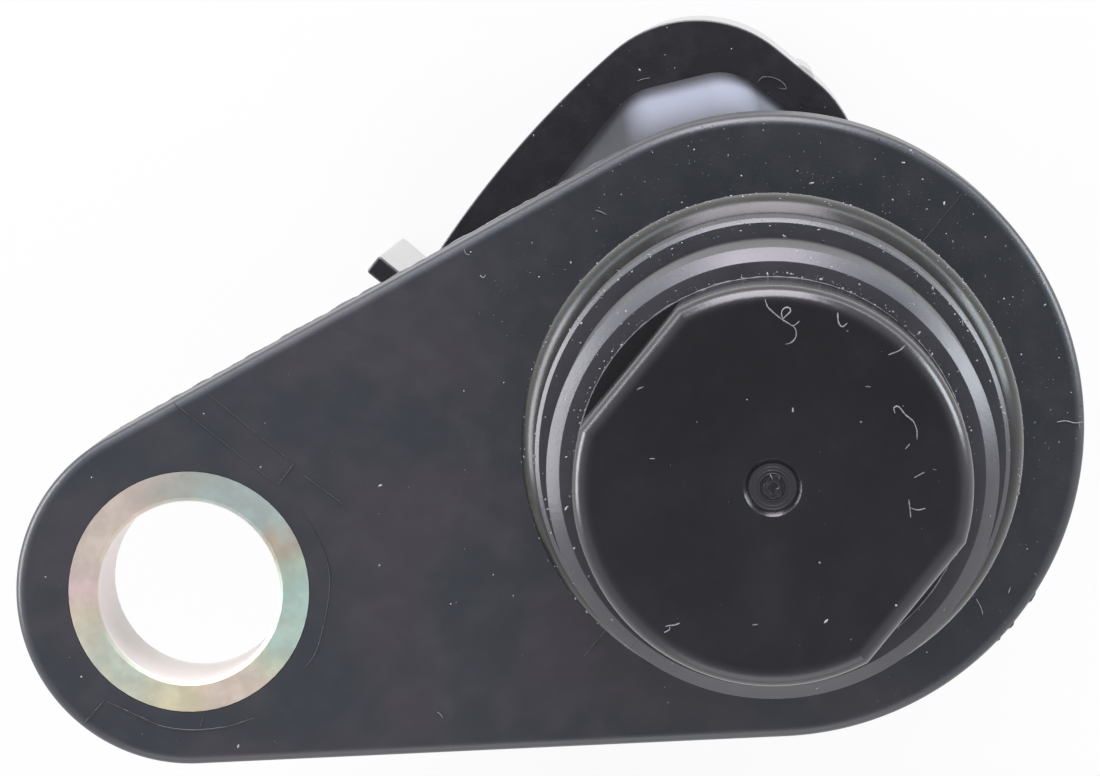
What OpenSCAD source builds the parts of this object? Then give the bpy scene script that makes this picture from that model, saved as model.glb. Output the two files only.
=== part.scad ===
// Crankshaft position sensor: a Hall-effect probe with a bolt-on flange and a three-way plug socket.
// Sizes are in millimetres. The origin is on the probe's axis, in the plane of the flange's mounting face.
// +Z runs along the probe to its tip, +X along the socket's long side, +Y towards the socket's key rib.

/* [Probe] */
// Length of the probe from the mounting face to its tip
probe_len = 27.8; // [26.5:0.1:34]
// Radius of the barrel where it fills the engine's bore
barrel_r = 8.15; // [7.95:0.05:8.6]
// Radius of the barrel in front of the land
barrel_front_r = 7.5; // [7.35:0.05:7.75]
// Length of the land in front of the seal
land_len = 3.95; // [2:0.05:5]
// Bevel at the land's front edge
land_bevel = 0.1; // [0.05:0.05:0.2]
// Radius of the shoulder at the barrel's front end
shoulder_r = 7.05; // [6.8:0.05:7.3]
// Length of the bevelled lead-in behind the shoulder
lead_in_len = 0.42; // [0.3:0.02:1]

/* [Capsule] */
// Radius of the capsule that closes the probe's tip
capsule_r = 6.5; // [6.2:0.05:6.6]
// Distance from the seal's groove to the capsule's open end
capsule_gap = 2.05; // [1.5:0.05:3]
// Length of the nose that stands out of the barrel
nose_len = 5.5; // [3.5:0.1:7]
// Distance across the two flats of the nose
nose_flats = 12; // [11.4:0.1:12.4]
// Height of the round ledge at the foot of the flats
nose_ledge = 0.15; // [0.05:0.05:0.5]
// Radius of the nose's rounded edge
nose_edge_r = 0.6; // [0.3:0.05:1]
// Radius of the capsule's bore
capsule_bore_r = 5.2; // [5.15:0.05:5.4]
// Thickness of the tip's sensing wall
tip_wall = 0.9; // [0.6:0.05:1.2]
// Radius of the gate mark in the middle of the tip
gate_r = 0.95; // [0.6:0.05:1.5]
// Depth of the gate mark
gate_depth = 0.15; // [0.1:0.05:0.3]
// Radius of the broken gate inside the mark
gate_nub_r = 0.4; // [0.2:0.05:0.5]
// Height of the broken gate inside the mark
gate_nub_h = 0.1; // [0.05:0.01:0.1]

/* [Seal] */
// Height of the seal's middle above the mounting face
seal_z = 8.5; // [6:0.1:9]
// Cord diameter of the O-ring
seal_cord = 2.3; // [1.8:0.1:2.6]
// Radius of the groove's floor
groove_r = 6.5; // [6.2:0.05:6.8]
// Room on each side of the O-ring in its groove
groove_room = 0.3; // [0.1:0.05:0.5]

/* [Flange] */
// Thickness of the flange
flange_t = 6.5; // [5:0.1:9]
// Radius of the flange round the probe
flange_r = 11.35; // [10.5:0.05:14]
// Radius of the flange's ear round the bolt
ear_r = 6.35; // [5.6:0.05:8]
// Distance from the probe's axis to the bolt's axis
bolt_distance = 22.1; // [19:0.1:28]
// Direction of the ear, from +X
bolt_angle = 145; // [120:1:180]
// Radius of the flange's rounded edges
flange_edge_r = 0.4; // [0.2:0.05:0.8]
// Radius of the bolt hole in the bush
bush_bore_r = 3.3; // [2.7:0.05:3.6]
// Wall of the bush
bush_wall = 1.1; // [0.8:0.05:1.4]
// Bevel at the mouths of the bush
bush_bevel = 0.15; // [0.05:0.05:0.3]

/* [Neck] */
// Distance from the flange's rear face to the socket's back wall
neck_len = 9.5; // [7:0.1:14]
// Length of the neck where it meets the flange
neck_root_l = 12.4; // [11:0.1:14]
// Width of the neck where it meets the flange
neck_root_w = 12; // [10:0.1:13]
// Offset of the neck's root from the probe's axis
neck_root_y = 2.2; // [1:0.1:3]
// Length of the neck where it meets the socket
neck_end_l = 18; // [14:0.1:19]
// Width of the neck where it meets the socket
neck_end_w = 8.6; // [6:0.1:10]
// Cut of the neck's corners along its length side
neck_cut_l = 3.3; // [1:0.1:4]
// Cut of the neck's corners along its width side
neck_cut_w = 2.5; // [1:0.1:2.8]

/* [Socket] */
// Distance from the probe's axis to the socket's axis
socket_y = 7.4; // [6:0.05:9]
// Length of the socket, outside
socket_l = 21.2; // [19.6:0.1:26]
// Width of the socket, outside
socket_w = 12.7; // [12.4:0.1:16]
// Radius of the socket's corners
socket_corner_r = 4.85; // [4:0.05:5.2]
// Radius of the socket's bowed long sides
socket_bow_r = 39; // [30:0.5:80]
// Wall of the socket
socket_wall = 1.3; // [1:0.05:1.6]
// Thickness of the socket's back wall
back_wall = 2.2; // [1.5:0.1:3]
// Depth of the socket, inside
socket_depth = 14.8; // [12:0.1:18]
// Thickness of the key rib
key_t = 0.8; // [0.5:0.05:1.5]
// Distance of the key rib's middle from the socket's middle
key_x = 5.7; // [3:0.1:6.5]
// Height of the key rib above the socket's side
key_h = 1.5; // [0.8:0.1:2.5]
// Width of the low bead on the socket's end
bead_w = 0.9; // [0.5:0.1:1.5]
// Height of the low bead on the socket's end
bead_h = 0.15; // [0.1:0.05:0.4]
// Distance of the low bead from the socket's middle
bead_y = 0.5; // [0:0.1:0.6]
// Width of the lock ramp
lock_w = 4.6; // [3:0.1:7]
// Height of the lock ramp above the socket's side
lock_h = 1.2; // [0.8:0.1:2]
// Length of the lock ramp's slope
lock_slope = 2.2; // [1.5:0.1:4]
// Length of the lock ramp's flat top
lock_flat = 1.2; // [0.6:0.1:2]
// Distance of the lock ramp's foot from the socket's rim
lock_setback = 2; // [1:0.1:5]

/* [Terminals] */
// Distance between neighbouring terminals
pitch = 3; // [2.6:0.1:3.4]
// Width of a terminal
terminal_w = 1.5; // [1:0.05:1.6]
// Thickness of a terminal
terminal_t = 0.64; // [0.5:0.02:0.7]
// Length of the blades in the socket
blade_len = 8.4; // [6:0.1:10]
// Bevel at the blades' ends
blade_bevel = 0.2; // [0.1:0.02:0.22]
// Length of the terminals' tabs inside the capsule
tab_len = 6.5; // [5:0.1:7]
// Width of the terminals' tabs
tab_w = 1; // [0.8:0.05:1.1]
// Height of the terminals' sloping stretch
jog_h = 4; // [3:0.1:4.5]
// Distance from the flange's rear face to the sloping stretch
jog_gap = 2; // [1:0.1:2.4]

/* [Sensing element] */
// Width of the Hall chip
chip_w = 4.1; // [3.8:0.1:5]
// Depth of the Hall chip
chip_d = 3; // [2.4:0.1:3.4]
// Thickness of the Hall chip
chip_t = 1.5; // [1:0.1:2]
// Distance between neighbouring chip leads
lead_pitch = 1.27; // [1:0.01:1.5]
// Width of a chip lead
lead_w = 0.45; // [0.3:0.05:0.6]
// Thickness of a chip lead
lead_t = 0.3; // [0.2:0.05:0.35]
// Length of a lead that lies on its terminal
weld_len = 2.6; // [1.5:0.1:3]
// Width of the bias magnet
magnet_w = 4; // [3:0.1:5]
// Depth of the bias magnet
magnet_d = 3.4; // [2.4:0.1:3.7]
// Height of the bias magnet
magnet_h = 4; // [2.5:0.1:5]
// Height of the carrier's foot
foot_h = 1.5; // [1:0.1:2]
// Distance from the probe's axis to the carrier's front face
carrier_front_y = 2.2; // [2:0.05:2.3]
// Distance between the two filter capacitors
capacitor_space = 0.3; // [0.2:0.05:0.8]
// Width of a filter capacitor
capacitor_w = 1.6; // [1:0.1:1.8]
// Thickness of a filter capacitor
capacitor_t = 0.8; // [0.5:0.1:0.9]

/* [Fits] */
// Gap between the housing and what is moulded into it
mould_gap = 0.02; // [0.01:0.01:0.05]
// Gap round the pieces that are set into the carrier and the capsule
set_gap = 0.05; // [0.02:0.01:0.1]

/* [Hidden] */

$fn = 96;
// Overlap of shapes that are joined in one solid, and of cuts past a face
sink = 0.2;
// Height of round ends over the sides that run into them, so that the two cross
blend = 0.01;
// Columns of the three circuits across the socket
SUPPLY = -1;
GROUND = 0;
SIGNAL = 1;

// Heights along the probe
groove_w = seal_cord + 2*groove_room;
groove_top = seal_z + groove_w/2;
land_top = groove_top + land_len;
shoulder_z = probe_len - nose_len;
ledge_z = shoulder_z + nose_ledge;
capsule_z = groove_top + capsule_gap;
capsule_len = probe_len - capsule_z;
capsule_floor_z = probe_len - tip_wall;

// Heights behind the flange
back_z = -flange_t - neck_len;
socket_floor_z = back_z - back_wall;
rim_z = socket_floor_z - socket_depth;
blade_end_z = socket_floor_z - blade_len;
jog_top_z = -flange_t - jog_gap;
jog_foot_z = jog_top_z - jog_h;

// Sensing element, from the tip inwards
carrier_r = capsule_bore_r - set_gap;
carrier_top_z = capsule_floor_z - set_gap;
chip_z = carrier_top_z - chip_t;
magnet_z = chip_z - set_gap - magnet_h;
tab_top_z = capsule_z + tab_len;
lead_y = carrier_front_y + lead_t/2;
terminal_y = carrier_front_y + lead_t + terminal_t/2;
lead_z = chip_z + chip_t/2;
lead_foot_z = tab_top_z - weld_len;
lead_spread_z = tab_top_z + pitch - lead_pitch;
capacitor_l = pitch - capacitor_space;
capacitor_z = capsule_z + foot_h + set_gap;

// Bush, and the tangent sides of the flange
bush_r = bush_bore_r + bush_wall;
lean = asin((flange_r - ear_r)/bolt_distance);

// Corners of a rectangle with cut corners
function cut_rectangle(l, w, cut_l, cut_w) =
    [for (s = [[1, 1], [-1, 1], [-1, -1], [1, -1]])
        each let (long = [s[0]*(l/2 - cut_l), s[1]*w/2], short = [s[0]*l/2, s[1]*(w/2 - cut_w)])
            s[0]*s[1] > 0 ? [short, long] : [long, short]];

// Unit vector square to the way from one point to the next
function square_to(p, q) = let (d = (q - p)/norm(q - p)) [-d[1], d[0]];

// Mitred offset of a path's point number i
function mitre(path, i) =
    let (a = i > 0 ? square_to(path[i - 1], path[i]) : square_to(path[0], path[1]),
         b = i < len(path) - 1 ? square_to(path[i], path[i + 1]) : a)
    (a + b)/(1 + a*b);

// Outline of a strip of even thickness along a path
function strip(path, t) =
    concat([for (i = [0:len(path) - 1]) path[i] + t/2*mitre(path, i)],
           [for (i = [len(path) - 1:-1:0]) path[i] - t/2*mitre(path, i)]);

// Outline of a blade's bevelled end, from its full width to its narrow end
function blade_end(middle, w) =
    [[middle - w/2, blade_end_z + blade_bevel], [middle - w/2 + blade_bevel, blade_end_z],
     [middle + w/2 - blade_bevel, blade_end_z], [middle + w/2, blade_end_z + blade_bevel]];

// Terminal's path through the housing, as [y, z]
function terminal_path(end_z, top_z) =
    [[socket_y, end_z], [socket_y, jog_foot_z], [terminal_y, jog_top_z], [terminal_y, top_z]];

// Point of the flange's inner web on its upper tangent side
function web_point(x, r) = [x + (r - flange_edge_r)*sin(lean), (r - flange_edge_r)*cos(lean)];

// Solid of an outline given as [y, z], with its width along X about a middle
module across(x, w) translate([x - w/2, 0, 0]) rotate([90, 0, 90]) linear_extrude(w) children();

// Solid of an outline given as [x, z], with its depth along Y about a middle
module along(y, d) translate([0, y + d/2, 0]) rotate([90, 0, 0]) linear_extrude(d) children();

// Box about the axis, from one height to another
module block(w, d, z_low, z_high) translate([-w/2, -d/2, z_low]) cube([w, d, z_high - z_low]);

// Places its children on the bolt's axis
module at_bolt() rotate([0, 0, bolt_angle]) translate([bolt_distance, 0, 0]) children();

// Oval with bowed long sides, shrunk by an inset
module socket_outline(inset) {
    a = socket_l/2 - inset;
    b = socket_w/2 - inset;
    c = socket_corner_r - inset;
    s = socket_bow_r - inset;
    corner_x = a - c;
    corner_y = sqrt((s - c)^2 - corner_x^2) - (s - b);
    bow_l = 2*corner_x*s/(s - c);
    for (x = [-1, 1], y = [-1, 1])
        translate([x*corner_x, y*corner_y]) circle(c + blend);
    intersection() {
        translate([0, b - s]) circle(s);
        translate([0, s - b]) circle(s);
        square([bow_l, 2*b], center = true);
    }
    square([2*a, 2*corner_y], center = true);
}

// Section of the flange's edge: a strip of a given width with rounded outer corners, from one height to another
module edge_section(w, z_low, z_high) {
    translate([0, z_low + flange_edge_r]) square([w, z_high - z_low - 2*flange_edge_r]);
    translate([0, z_low]) square([w - flange_edge_r, z_high - z_low]);
    for (z = [z_low + flange_edge_r, z_high - flange_edge_r])
        translate([w - flange_edge_r, z]) circle(flange_edge_r);
}

// Round end of the flange
module flange_end(r) rotate_extrude() edge_section(r + blend, -flange_t, 0);

// Straight side of the flange, tangent to both round ends
module flange_side()
    rotate([0, 0, -lean]) translate([0, flange_r - ear_r, 0]) rotate([90, 0, 90])
        linear_extrude(bolt_distance*cos(lean)) edge_section(ear_r, blend - flange_t, -blend);

module flange_plate() rotate([0, 0, bolt_angle]) {
    big = web_point(0, flange_r);
    small = web_point(bolt_distance, ear_r);
    flange_end(flange_r);
    translate([bolt_distance, 0, 0]) flange_end(ear_r);
    flange_side();
    mirror([0, 1, 0]) flange_side();
    translate([0, 0, -flange_t]) linear_extrude(flange_t)
        polygon([big, small, [small[0], -small[1]], [big[0], -big[1]]]);
}

// Barrel with its seal groove, land, flat ledge and bevelled lead-in
module barrel() {
    ledge = land_top + land_bevel;
    rotate_extrude() difference() {
        polygon([[0, -flange_t/2], [barrel_r, -flange_t/2], [barrel_r, land_top], [barrel_r - land_bevel, ledge],
                 [barrel_front_r, ledge], [barrel_front_r, shoulder_z - lead_in_len],
                 [shoulder_r, shoulder_z], [0, shoulder_z]]);
        translate([groove_r, groove_top - groove_w]) square([barrel_r, groove_w]);
    }
}

// Neck that spreads from the flange to the socket's back wall
module neck() hull() {
    translate([0, neck_root_y, -flange_t - sink]) linear_extrude(2*sink)
        polygon(cut_rectangle(neck_root_l, neck_root_w, neck_cut_l, neck_cut_w));
    translate([0, socket_y, back_z - sink]) linear_extrude(sink)
        polygon(cut_rectangle(neck_end_l, neck_end_w, neck_cut_l, neck_cut_w));
}

// Key rib on one long side of the socket and low bead on one of its ends
module socket_ribs() {
    translate([-key_x - key_t/2, socket_y, rim_z])
        cube([key_t, socket_w/2 + key_h, back_z - rim_z]);
    translate([0, socket_y - bead_y - bead_w/2, rim_z])
        cube([socket_l/2 + bead_h, bead_w, back_z - rim_z]);
}

// Lock ramp on the socket's other long side: a slope from the rim and a square catch
module lock_ramp() {
    side_y = socket_y - socket_w/2;
    foot_z = rim_z + lock_setback;
    catch_z = foot_z + lock_slope + lock_flat;
    across(0, lock_w)
        polygon([[side_y + socket_wall, foot_z], [side_y, foot_z], [side_y - lock_h, foot_z + lock_slope],
                 [side_y - lock_h, catch_z], [side_y + socket_wall, catch_z]]);
}

// Terminal without its blade's end, grown by a gap: full width up to the flange's rear face, then the tab's width
module terminal_form(column, gap, end_z, top_z) {
    full = terminal_w/2 + gap;
    narrow = tab_w/2 + gap;
    step_z = gap - flange_t;
    intersection() {
        across(column*pitch, 2*full) polygon(strip(terminal_path(end_z, top_z), terminal_t + 2*gap));
        along(0, 4*socket_y) translate([column*pitch, 0])
            polygon([[-full, end_z], [full, end_z], [full, step_z], [narrow, step_z],
                     [narrow, top_z], [-narrow, top_z], [-narrow, step_z], [-full, step_z]]);
    }
}

module housing() color("#3c3d42") difference() {
    union() {
        flange_plate();
        barrel();
        neck();
        translate([0, socket_y, rim_z]) linear_extrude(back_z - rim_z) socket_outline(0);
        socket_ribs();
        lock_ramp();
    }
    translate([0, 0, capsule_z]) cylinder(r = capsule_r + mould_gap, h = capsule_len);
    at_bolt() translate([0, 0, -2*flange_t]) cylinder(r = bush_r + mould_gap, h = 3*flange_t);
    translate([0, socket_y, rim_z - sink]) linear_extrude(socket_depth + sink) socket_outline(socket_wall);
    for (column = [SUPPLY, GROUND, SIGNAL])
        terminal_form(column, mould_gap, socket_floor_z - sink, capsule_z + sink);
}

// Section of the nose across its flats, as [y, z], with rounded tip edges
module nose_section() {
    side = nose_flats/2;
    edge_z = probe_len - nose_edge_r;
    translate([-side, ledge_z]) square([nose_flats, edge_z - ledge_z]);
    translate([nose_edge_r - side, ledge_z]) square([nose_flats - 2*nose_edge_r, probe_len - ledge_z]);
    for (y = [nose_edge_r - side, side - nose_edge_r])
        translate([y, edge_z]) circle(nose_edge_r);
}

// Half section of the capsule's round outside
module capsule_section() {
    translate([0, capsule_z]) square([capsule_r, capsule_len - nose_edge_r]);
    translate([0, capsule_z]) square([capsule_r - nose_edge_r, capsule_len]);
    translate([capsule_r - nose_edge_r, probe_len - nose_edge_r]) circle(nose_edge_r);
}

module capsule() color("#2b2b31") difference() {
    rotate_extrude() capsule_section();
    across(0, 4*capsule_r) difference() {
        translate([-2*capsule_r, ledge_z]) square([4*capsule_r, nose_len]);
        nose_section();
    }
    translate([0, 0, capsule_z - sink]) cylinder(r = capsule_bore_r, h = capsule_floor_z - capsule_z + sink);
    translate([0, 0, probe_len - gate_depth]) difference() {
        cylinder(r1 = gate_r - gate_depth, r2 = gate_r + gate_depth, h = 2*gate_depth);
        translate([0, 0, -sink]) cylinder(r = gate_nub_r, h = gate_nub_h + sink);
    }
}

module o_ring() color("#1f201e")
    translate([0, 0, seal_z]) rotate_extrude()
        translate([groove_r + mould_gap + seal_cord/2, 0]) circle(d = seal_cord);

module mounting_bush() color("#b9b59a")
    at_bolt() rotate_extrude()
        polygon([[bush_bore_r + bush_bevel, -flange_t], [bush_r, -flange_t], [bush_r, 0],
                 [bush_bore_r + bush_bevel, 0], [bush_bore_r, -bush_bevel], [bush_bore_r, bush_bevel - flange_t]]);

module chip_carrier() color("#4a4640") difference() {
    translate([0, 0, capsule_z]) cylinder(r = carrier_r, h = carrier_top_z - capsule_z);
    translate([-carrier_r, carrier_front_y, capsule_z + foot_h]) cube([2*carrier_r, carrier_r, capsule_len]);
    block(magnet_w + 2*set_gap, magnet_d + 2*set_gap, magnet_z, chip_z);
    translate([0, carrier_r - chip_d/2 - set_gap, 0])
        block(chip_w + 2*set_gap, 2*carrier_r, chip_z - set_gap, probe_len);
    for (column = [SUPPLY, GROUND, SIGNAL])
        translate([column*pitch, terminal_y, 0])
            block(tab_w + 2*set_gap, terminal_t + 2*set_gap, capsule_z - sink, capsule_z + foot_h + sink);
}

module hall_chip() color("#232323") block(chip_w, chip_d, chip_z, chip_z + chip_t);

module bias_magnet() color("#9a9ca0") block(magnet_w, magnet_d, magnet_z, magnet_z + magnet_h);

// Chip lead: out of the chip, down the carrier's front and across to its terminal's tab
module chip_lead(column) color("#c9ccd0") {
    path = [[column*lead_pitch, lead_z + lead_t/2], [column*lead_pitch, lead_spread_z],
            [column*pitch, tab_top_z], [column*pitch, lead_foot_z]];
    along(lead_y, lead_t) polygon(strip(path, lead_w));
    translate([column*lead_pitch - lead_w/2, chip_d/2, lead_z - lead_t/2])
        cube([lead_w, lead_y - chip_d/2, lead_t]);
}

// Terminal: bevelled blade in the socket, sloping stretch in the neck, flat tab in the capsule
module terminal(column) color("#c3b27a") {
    x = column*pitch;
    terminal_form(column, 0, blade_end_z + blade_bevel, tab_top_z);
    intersection() {
        across(x, terminal_w) polygon(blade_end(socket_y, terminal_t));
        along(socket_y, terminal_t) polygon(blade_end(x, terminal_w));
    }
}

// Filter capacitor that bridges two neighbouring tabs
module capacitor(side) color("#a58a63")
    translate([side*pitch/2, terminal_y + terminal_t/2 + capacitor_t/2, 0])
        block(capacitor_l, capacitor_t, capacitor_z, capacitor_z + capacitor_w);

housing();
capsule();
o_ring();
mounting_bush();
chip_carrier();
hall_chip();
bias_magnet();
chip_lead(SUPPLY);  // supply_lead
chip_lead(GROUND);  // ground_lead
chip_lead(SIGNAL);  // signal_lead
terminal(SUPPLY);  // supply_terminal
terminal(GROUND);  // ground_terminal
terminal(SIGNAL);  // signal_terminal
capacitor(SUPPLY);  // supply_capacitor
capacitor(SIGNAL);  // signal_capacitor
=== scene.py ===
"""Looks of the crankshaft position sensor: shapes, finishes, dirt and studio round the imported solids.

Shapes are worked out in millimetres in the part's frame and scaled to metres at the end.
"""
import logging
import math
from dataclasses import dataclass
from enum import Enum
from typing import Any, Sequence

import bmesh
import bpy
from mathutils import Matrix, Vector


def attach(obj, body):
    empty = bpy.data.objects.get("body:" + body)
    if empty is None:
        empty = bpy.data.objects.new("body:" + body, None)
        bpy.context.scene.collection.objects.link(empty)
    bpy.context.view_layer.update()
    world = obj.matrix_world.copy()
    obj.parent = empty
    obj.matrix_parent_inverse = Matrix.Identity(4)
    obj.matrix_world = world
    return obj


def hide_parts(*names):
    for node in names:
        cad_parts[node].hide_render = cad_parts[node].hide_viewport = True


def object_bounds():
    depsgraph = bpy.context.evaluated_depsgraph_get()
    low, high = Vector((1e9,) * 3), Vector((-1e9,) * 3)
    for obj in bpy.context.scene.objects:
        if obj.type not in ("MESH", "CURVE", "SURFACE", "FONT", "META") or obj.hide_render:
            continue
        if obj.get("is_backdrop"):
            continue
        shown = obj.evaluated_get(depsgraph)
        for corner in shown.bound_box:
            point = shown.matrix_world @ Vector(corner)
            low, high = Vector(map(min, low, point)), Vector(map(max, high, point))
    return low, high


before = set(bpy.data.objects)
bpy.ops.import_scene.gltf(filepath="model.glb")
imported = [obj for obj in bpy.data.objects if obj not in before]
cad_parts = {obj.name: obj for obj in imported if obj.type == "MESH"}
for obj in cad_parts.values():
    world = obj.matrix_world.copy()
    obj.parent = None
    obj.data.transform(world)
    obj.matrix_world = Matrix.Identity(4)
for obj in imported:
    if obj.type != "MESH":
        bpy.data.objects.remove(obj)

MM = 0.001
BODY = "root"
# A fixed direction in the part's frame, which points up in the photograph
# The nose's painted shade and the neck's painted sheen lie along this direction
IMAGE_UP = (0.774, 0.63, -0.064)
LOG = logging.getLogger("sensor")

Point = tuple[float, float]
Colour = tuple[float, float, float, float]
Ring = list[Vector]


class Join(Enum):
    """How a shape is joined to another."""

    ADD = "UNION"
    CUT = "DIFFERENCE"


class Ground(Enum):
    """Surfaces that carry dirt, by their height in millimetres."""

    TIP = 27.8
    FOOT = 22.45
    SHOULDER = 22.3
    LEDGE = 14.0
    FLANGE = 0.0
    BACK_WALL = -16.0


def arc(middle: Point, radius: float, start: float, end: float, steps: int) -> list[Point]:
    """Give points on an arc, without its last one.

    Args:
        middle: Centre of the arc.
        radius: Radius of the arc.
        start: First angle in degrees.
        end: Last angle in degrees.
        steps: Number of points.

    Returns:
        The points in order.
    """
    angles = [math.radians(start + (end - start)*i/steps) for i in range(steps)]
    return [(middle[0] + radius*math.cos(a), middle[1] + radius*math.sin(a)) for a in angles]


def rounded(corners: Sequence[tuple[Point, float]], steps: int, closed: bool) -> list[Point]:
    """Round the corners of a line or outline.

    Args:
        corners: Points with the radius that each is rounded by; 0 keeps the point.
        steps: Steps of each rounding.
        closed: Whether the last point joins the first.

    Returns:
        The points of the rounded line.
    """
    made: list[Point] = []
    count = len(corners)
    for i, (place, radius) in enumerate(corners):
        at_end = not closed and i in (0, count - 1)
        if at_end or radius == 0:
            made.append(place)
            continue
        here = Vector(place)
        back = (Vector(corners[i - 1][0]) - here).normalized()
        ahead = (Vector(corners[(i + 1) % count][0]) - here).normalized()
        half = back.angle(ahead)/2
        middle = here + (back + ahead).normalized()*radius/math.sin(half)
        first = here + back*radius/math.tan(half) - middle
        last = here + ahead*radius/math.tan(half) - middle
        turn = first.angle(last)
        for k in range(steps + 1):
            t = k/steps
            spoke = (first*math.sin((1 - t)*turn) + last*math.sin(t*turn))/math.sin(turn)
            made.append(tuple(middle + spoke))
    return made


def lifted(outline: Sequence[Point], z: float) -> Ring:
    """Lift a flat outline to a height."""
    return [Vector((x, y, z)) for x, y in outline]


def round_ends(low: float, high: float, low_r: float, high_r: float, steps: int = 8) -> list[Point]:
    """Give the steps of a wall with rounded ends.

    Args:
        low: Height of the lower end.
        high: Height of the upper end.
        low_r: Radius of the lower rounding.
        high_r: Radius of the upper rounding.
        steps: Steps of each rounding.

    Returns:
        Pairs of inset and height from the lower end to the upper one.
    """
    turns = [math.pi/2*i/steps for i in range(steps + 1)]
    foot = [(low_r*(1 - math.sin(t)), low + low_r*(1 - math.cos(t))) for t in turns]
    head = [(high_r*(1 - math.cos(t)), high - high_r*(1 - math.sin(t))) for t in turns]
    return foot + head


def new_piece(name: str, mesh: bpy.types.Mesh) -> bpy.types.Object:
    """Put a mesh into the scene as an object of its own.

    Args:
        name: Name of the object.
        mesh: Its mesh.

    Returns:
        The new object.
    """
    piece = bpy.data.objects.new(name, mesh)
    bpy.context.scene.collection.objects.link(piece)
    return piece


def loft(name: str, rings: Sequence[Ring], bevel: float = 0.0) -> bpy.types.Object:
    """Join rings of equal count to a closed shape with flat ends.

    Args:
        name: Name of the object.
        rings: Rings of points in order.
        bevel: Width by which all edges are rounded; 0 leaves them.

    Returns:
        The new object, in millimetres.
    """
    shape = bmesh.new()
    loops = [[shape.verts.new(p) for p in ring] for ring in rings]
    for low, high in zip(loops, loops[1:]):
        for i in range(len(low)):
            j = (i + 1) % len(low)
            shape.faces.new((low[i], low[j], high[j], high[i]))
    shape.faces.new(list(reversed(loops[0])))
    shape.faces.new(loops[-1])
    if bevel > 0:
        bmesh.ops.bevel(shape, geom=shape.edges[:], offset=bevel, segments=4, profile=0.5, affect="EDGES")
    bmesh.ops.recalc_face_normals(shape, faces=shape.faces[:])
    mesh = bpy.data.meshes.new(name)
    shape.to_mesh(mesh)
    shape.free()
    return new_piece(name, mesh)


def freeze(piece: bpy.types.Object) -> None:
    """Turn a piece and its modifiers into one plain mesh.

    Args:
        piece: Object whose modifiers are used up.
    """
    graph = bpy.context.evaluated_depsgraph_get()
    mesh = bpy.data.meshes.new_from_object(piece.evaluated_get(graph), depsgraph=graph)
    old = piece.data
    piece.modifiers.clear()
    piece.data = mesh
    if isinstance(old, bpy.types.Mesh):
        bpy.data.meshes.remove(old)
    mesh.name = piece.name


def combine(body: bpy.types.Object, tools: Sequence[tuple[bpy.types.Object, Join]]) -> None:
    """Join shapes to a body, or cut them out of it, and remove them.

    Args:
        body: Shape that is worked on.
        tools: Shapes in order, each with the way it is joined.
    """
    for tool, how in tools:
        step = body.modifiers.new(tool.name, "BOOLEAN")
        step.operation = how.value
        step.solver = "MANIFOLD"
        step.object = tool
    freeze(body)
    for tool, _ in tools:
        bpy.data.objects.remove(tool)


def smooth(piece: bpy.types.Object, sharp: float) -> None:
    """Scale a finished shape to metres and shade it smooth up to an angle.

    Args:
        piece: Shape in millimetres.
        sharp: Angle in degrees over which an edge stays sharp.
    """
    piece.data.transform(Matrix.Scale(MM, 4))
    piece.data.shade_smooth()
    piece.data.set_sharp_from_angle(angle=math.radians(sharp))
    even = piece.modifiers.new("even_normals", "WEIGHTED_NORMAL")
    even.keep_sharp = True
    even.weight = 80
    freeze(piece)


def ride_as(piece: bpy.types.Object, slot: str, *nodes: str) -> None:
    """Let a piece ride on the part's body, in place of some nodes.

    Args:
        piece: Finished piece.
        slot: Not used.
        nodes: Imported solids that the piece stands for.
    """
    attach(piece, BODY)
    if nodes:
        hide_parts(*nodes)


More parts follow.
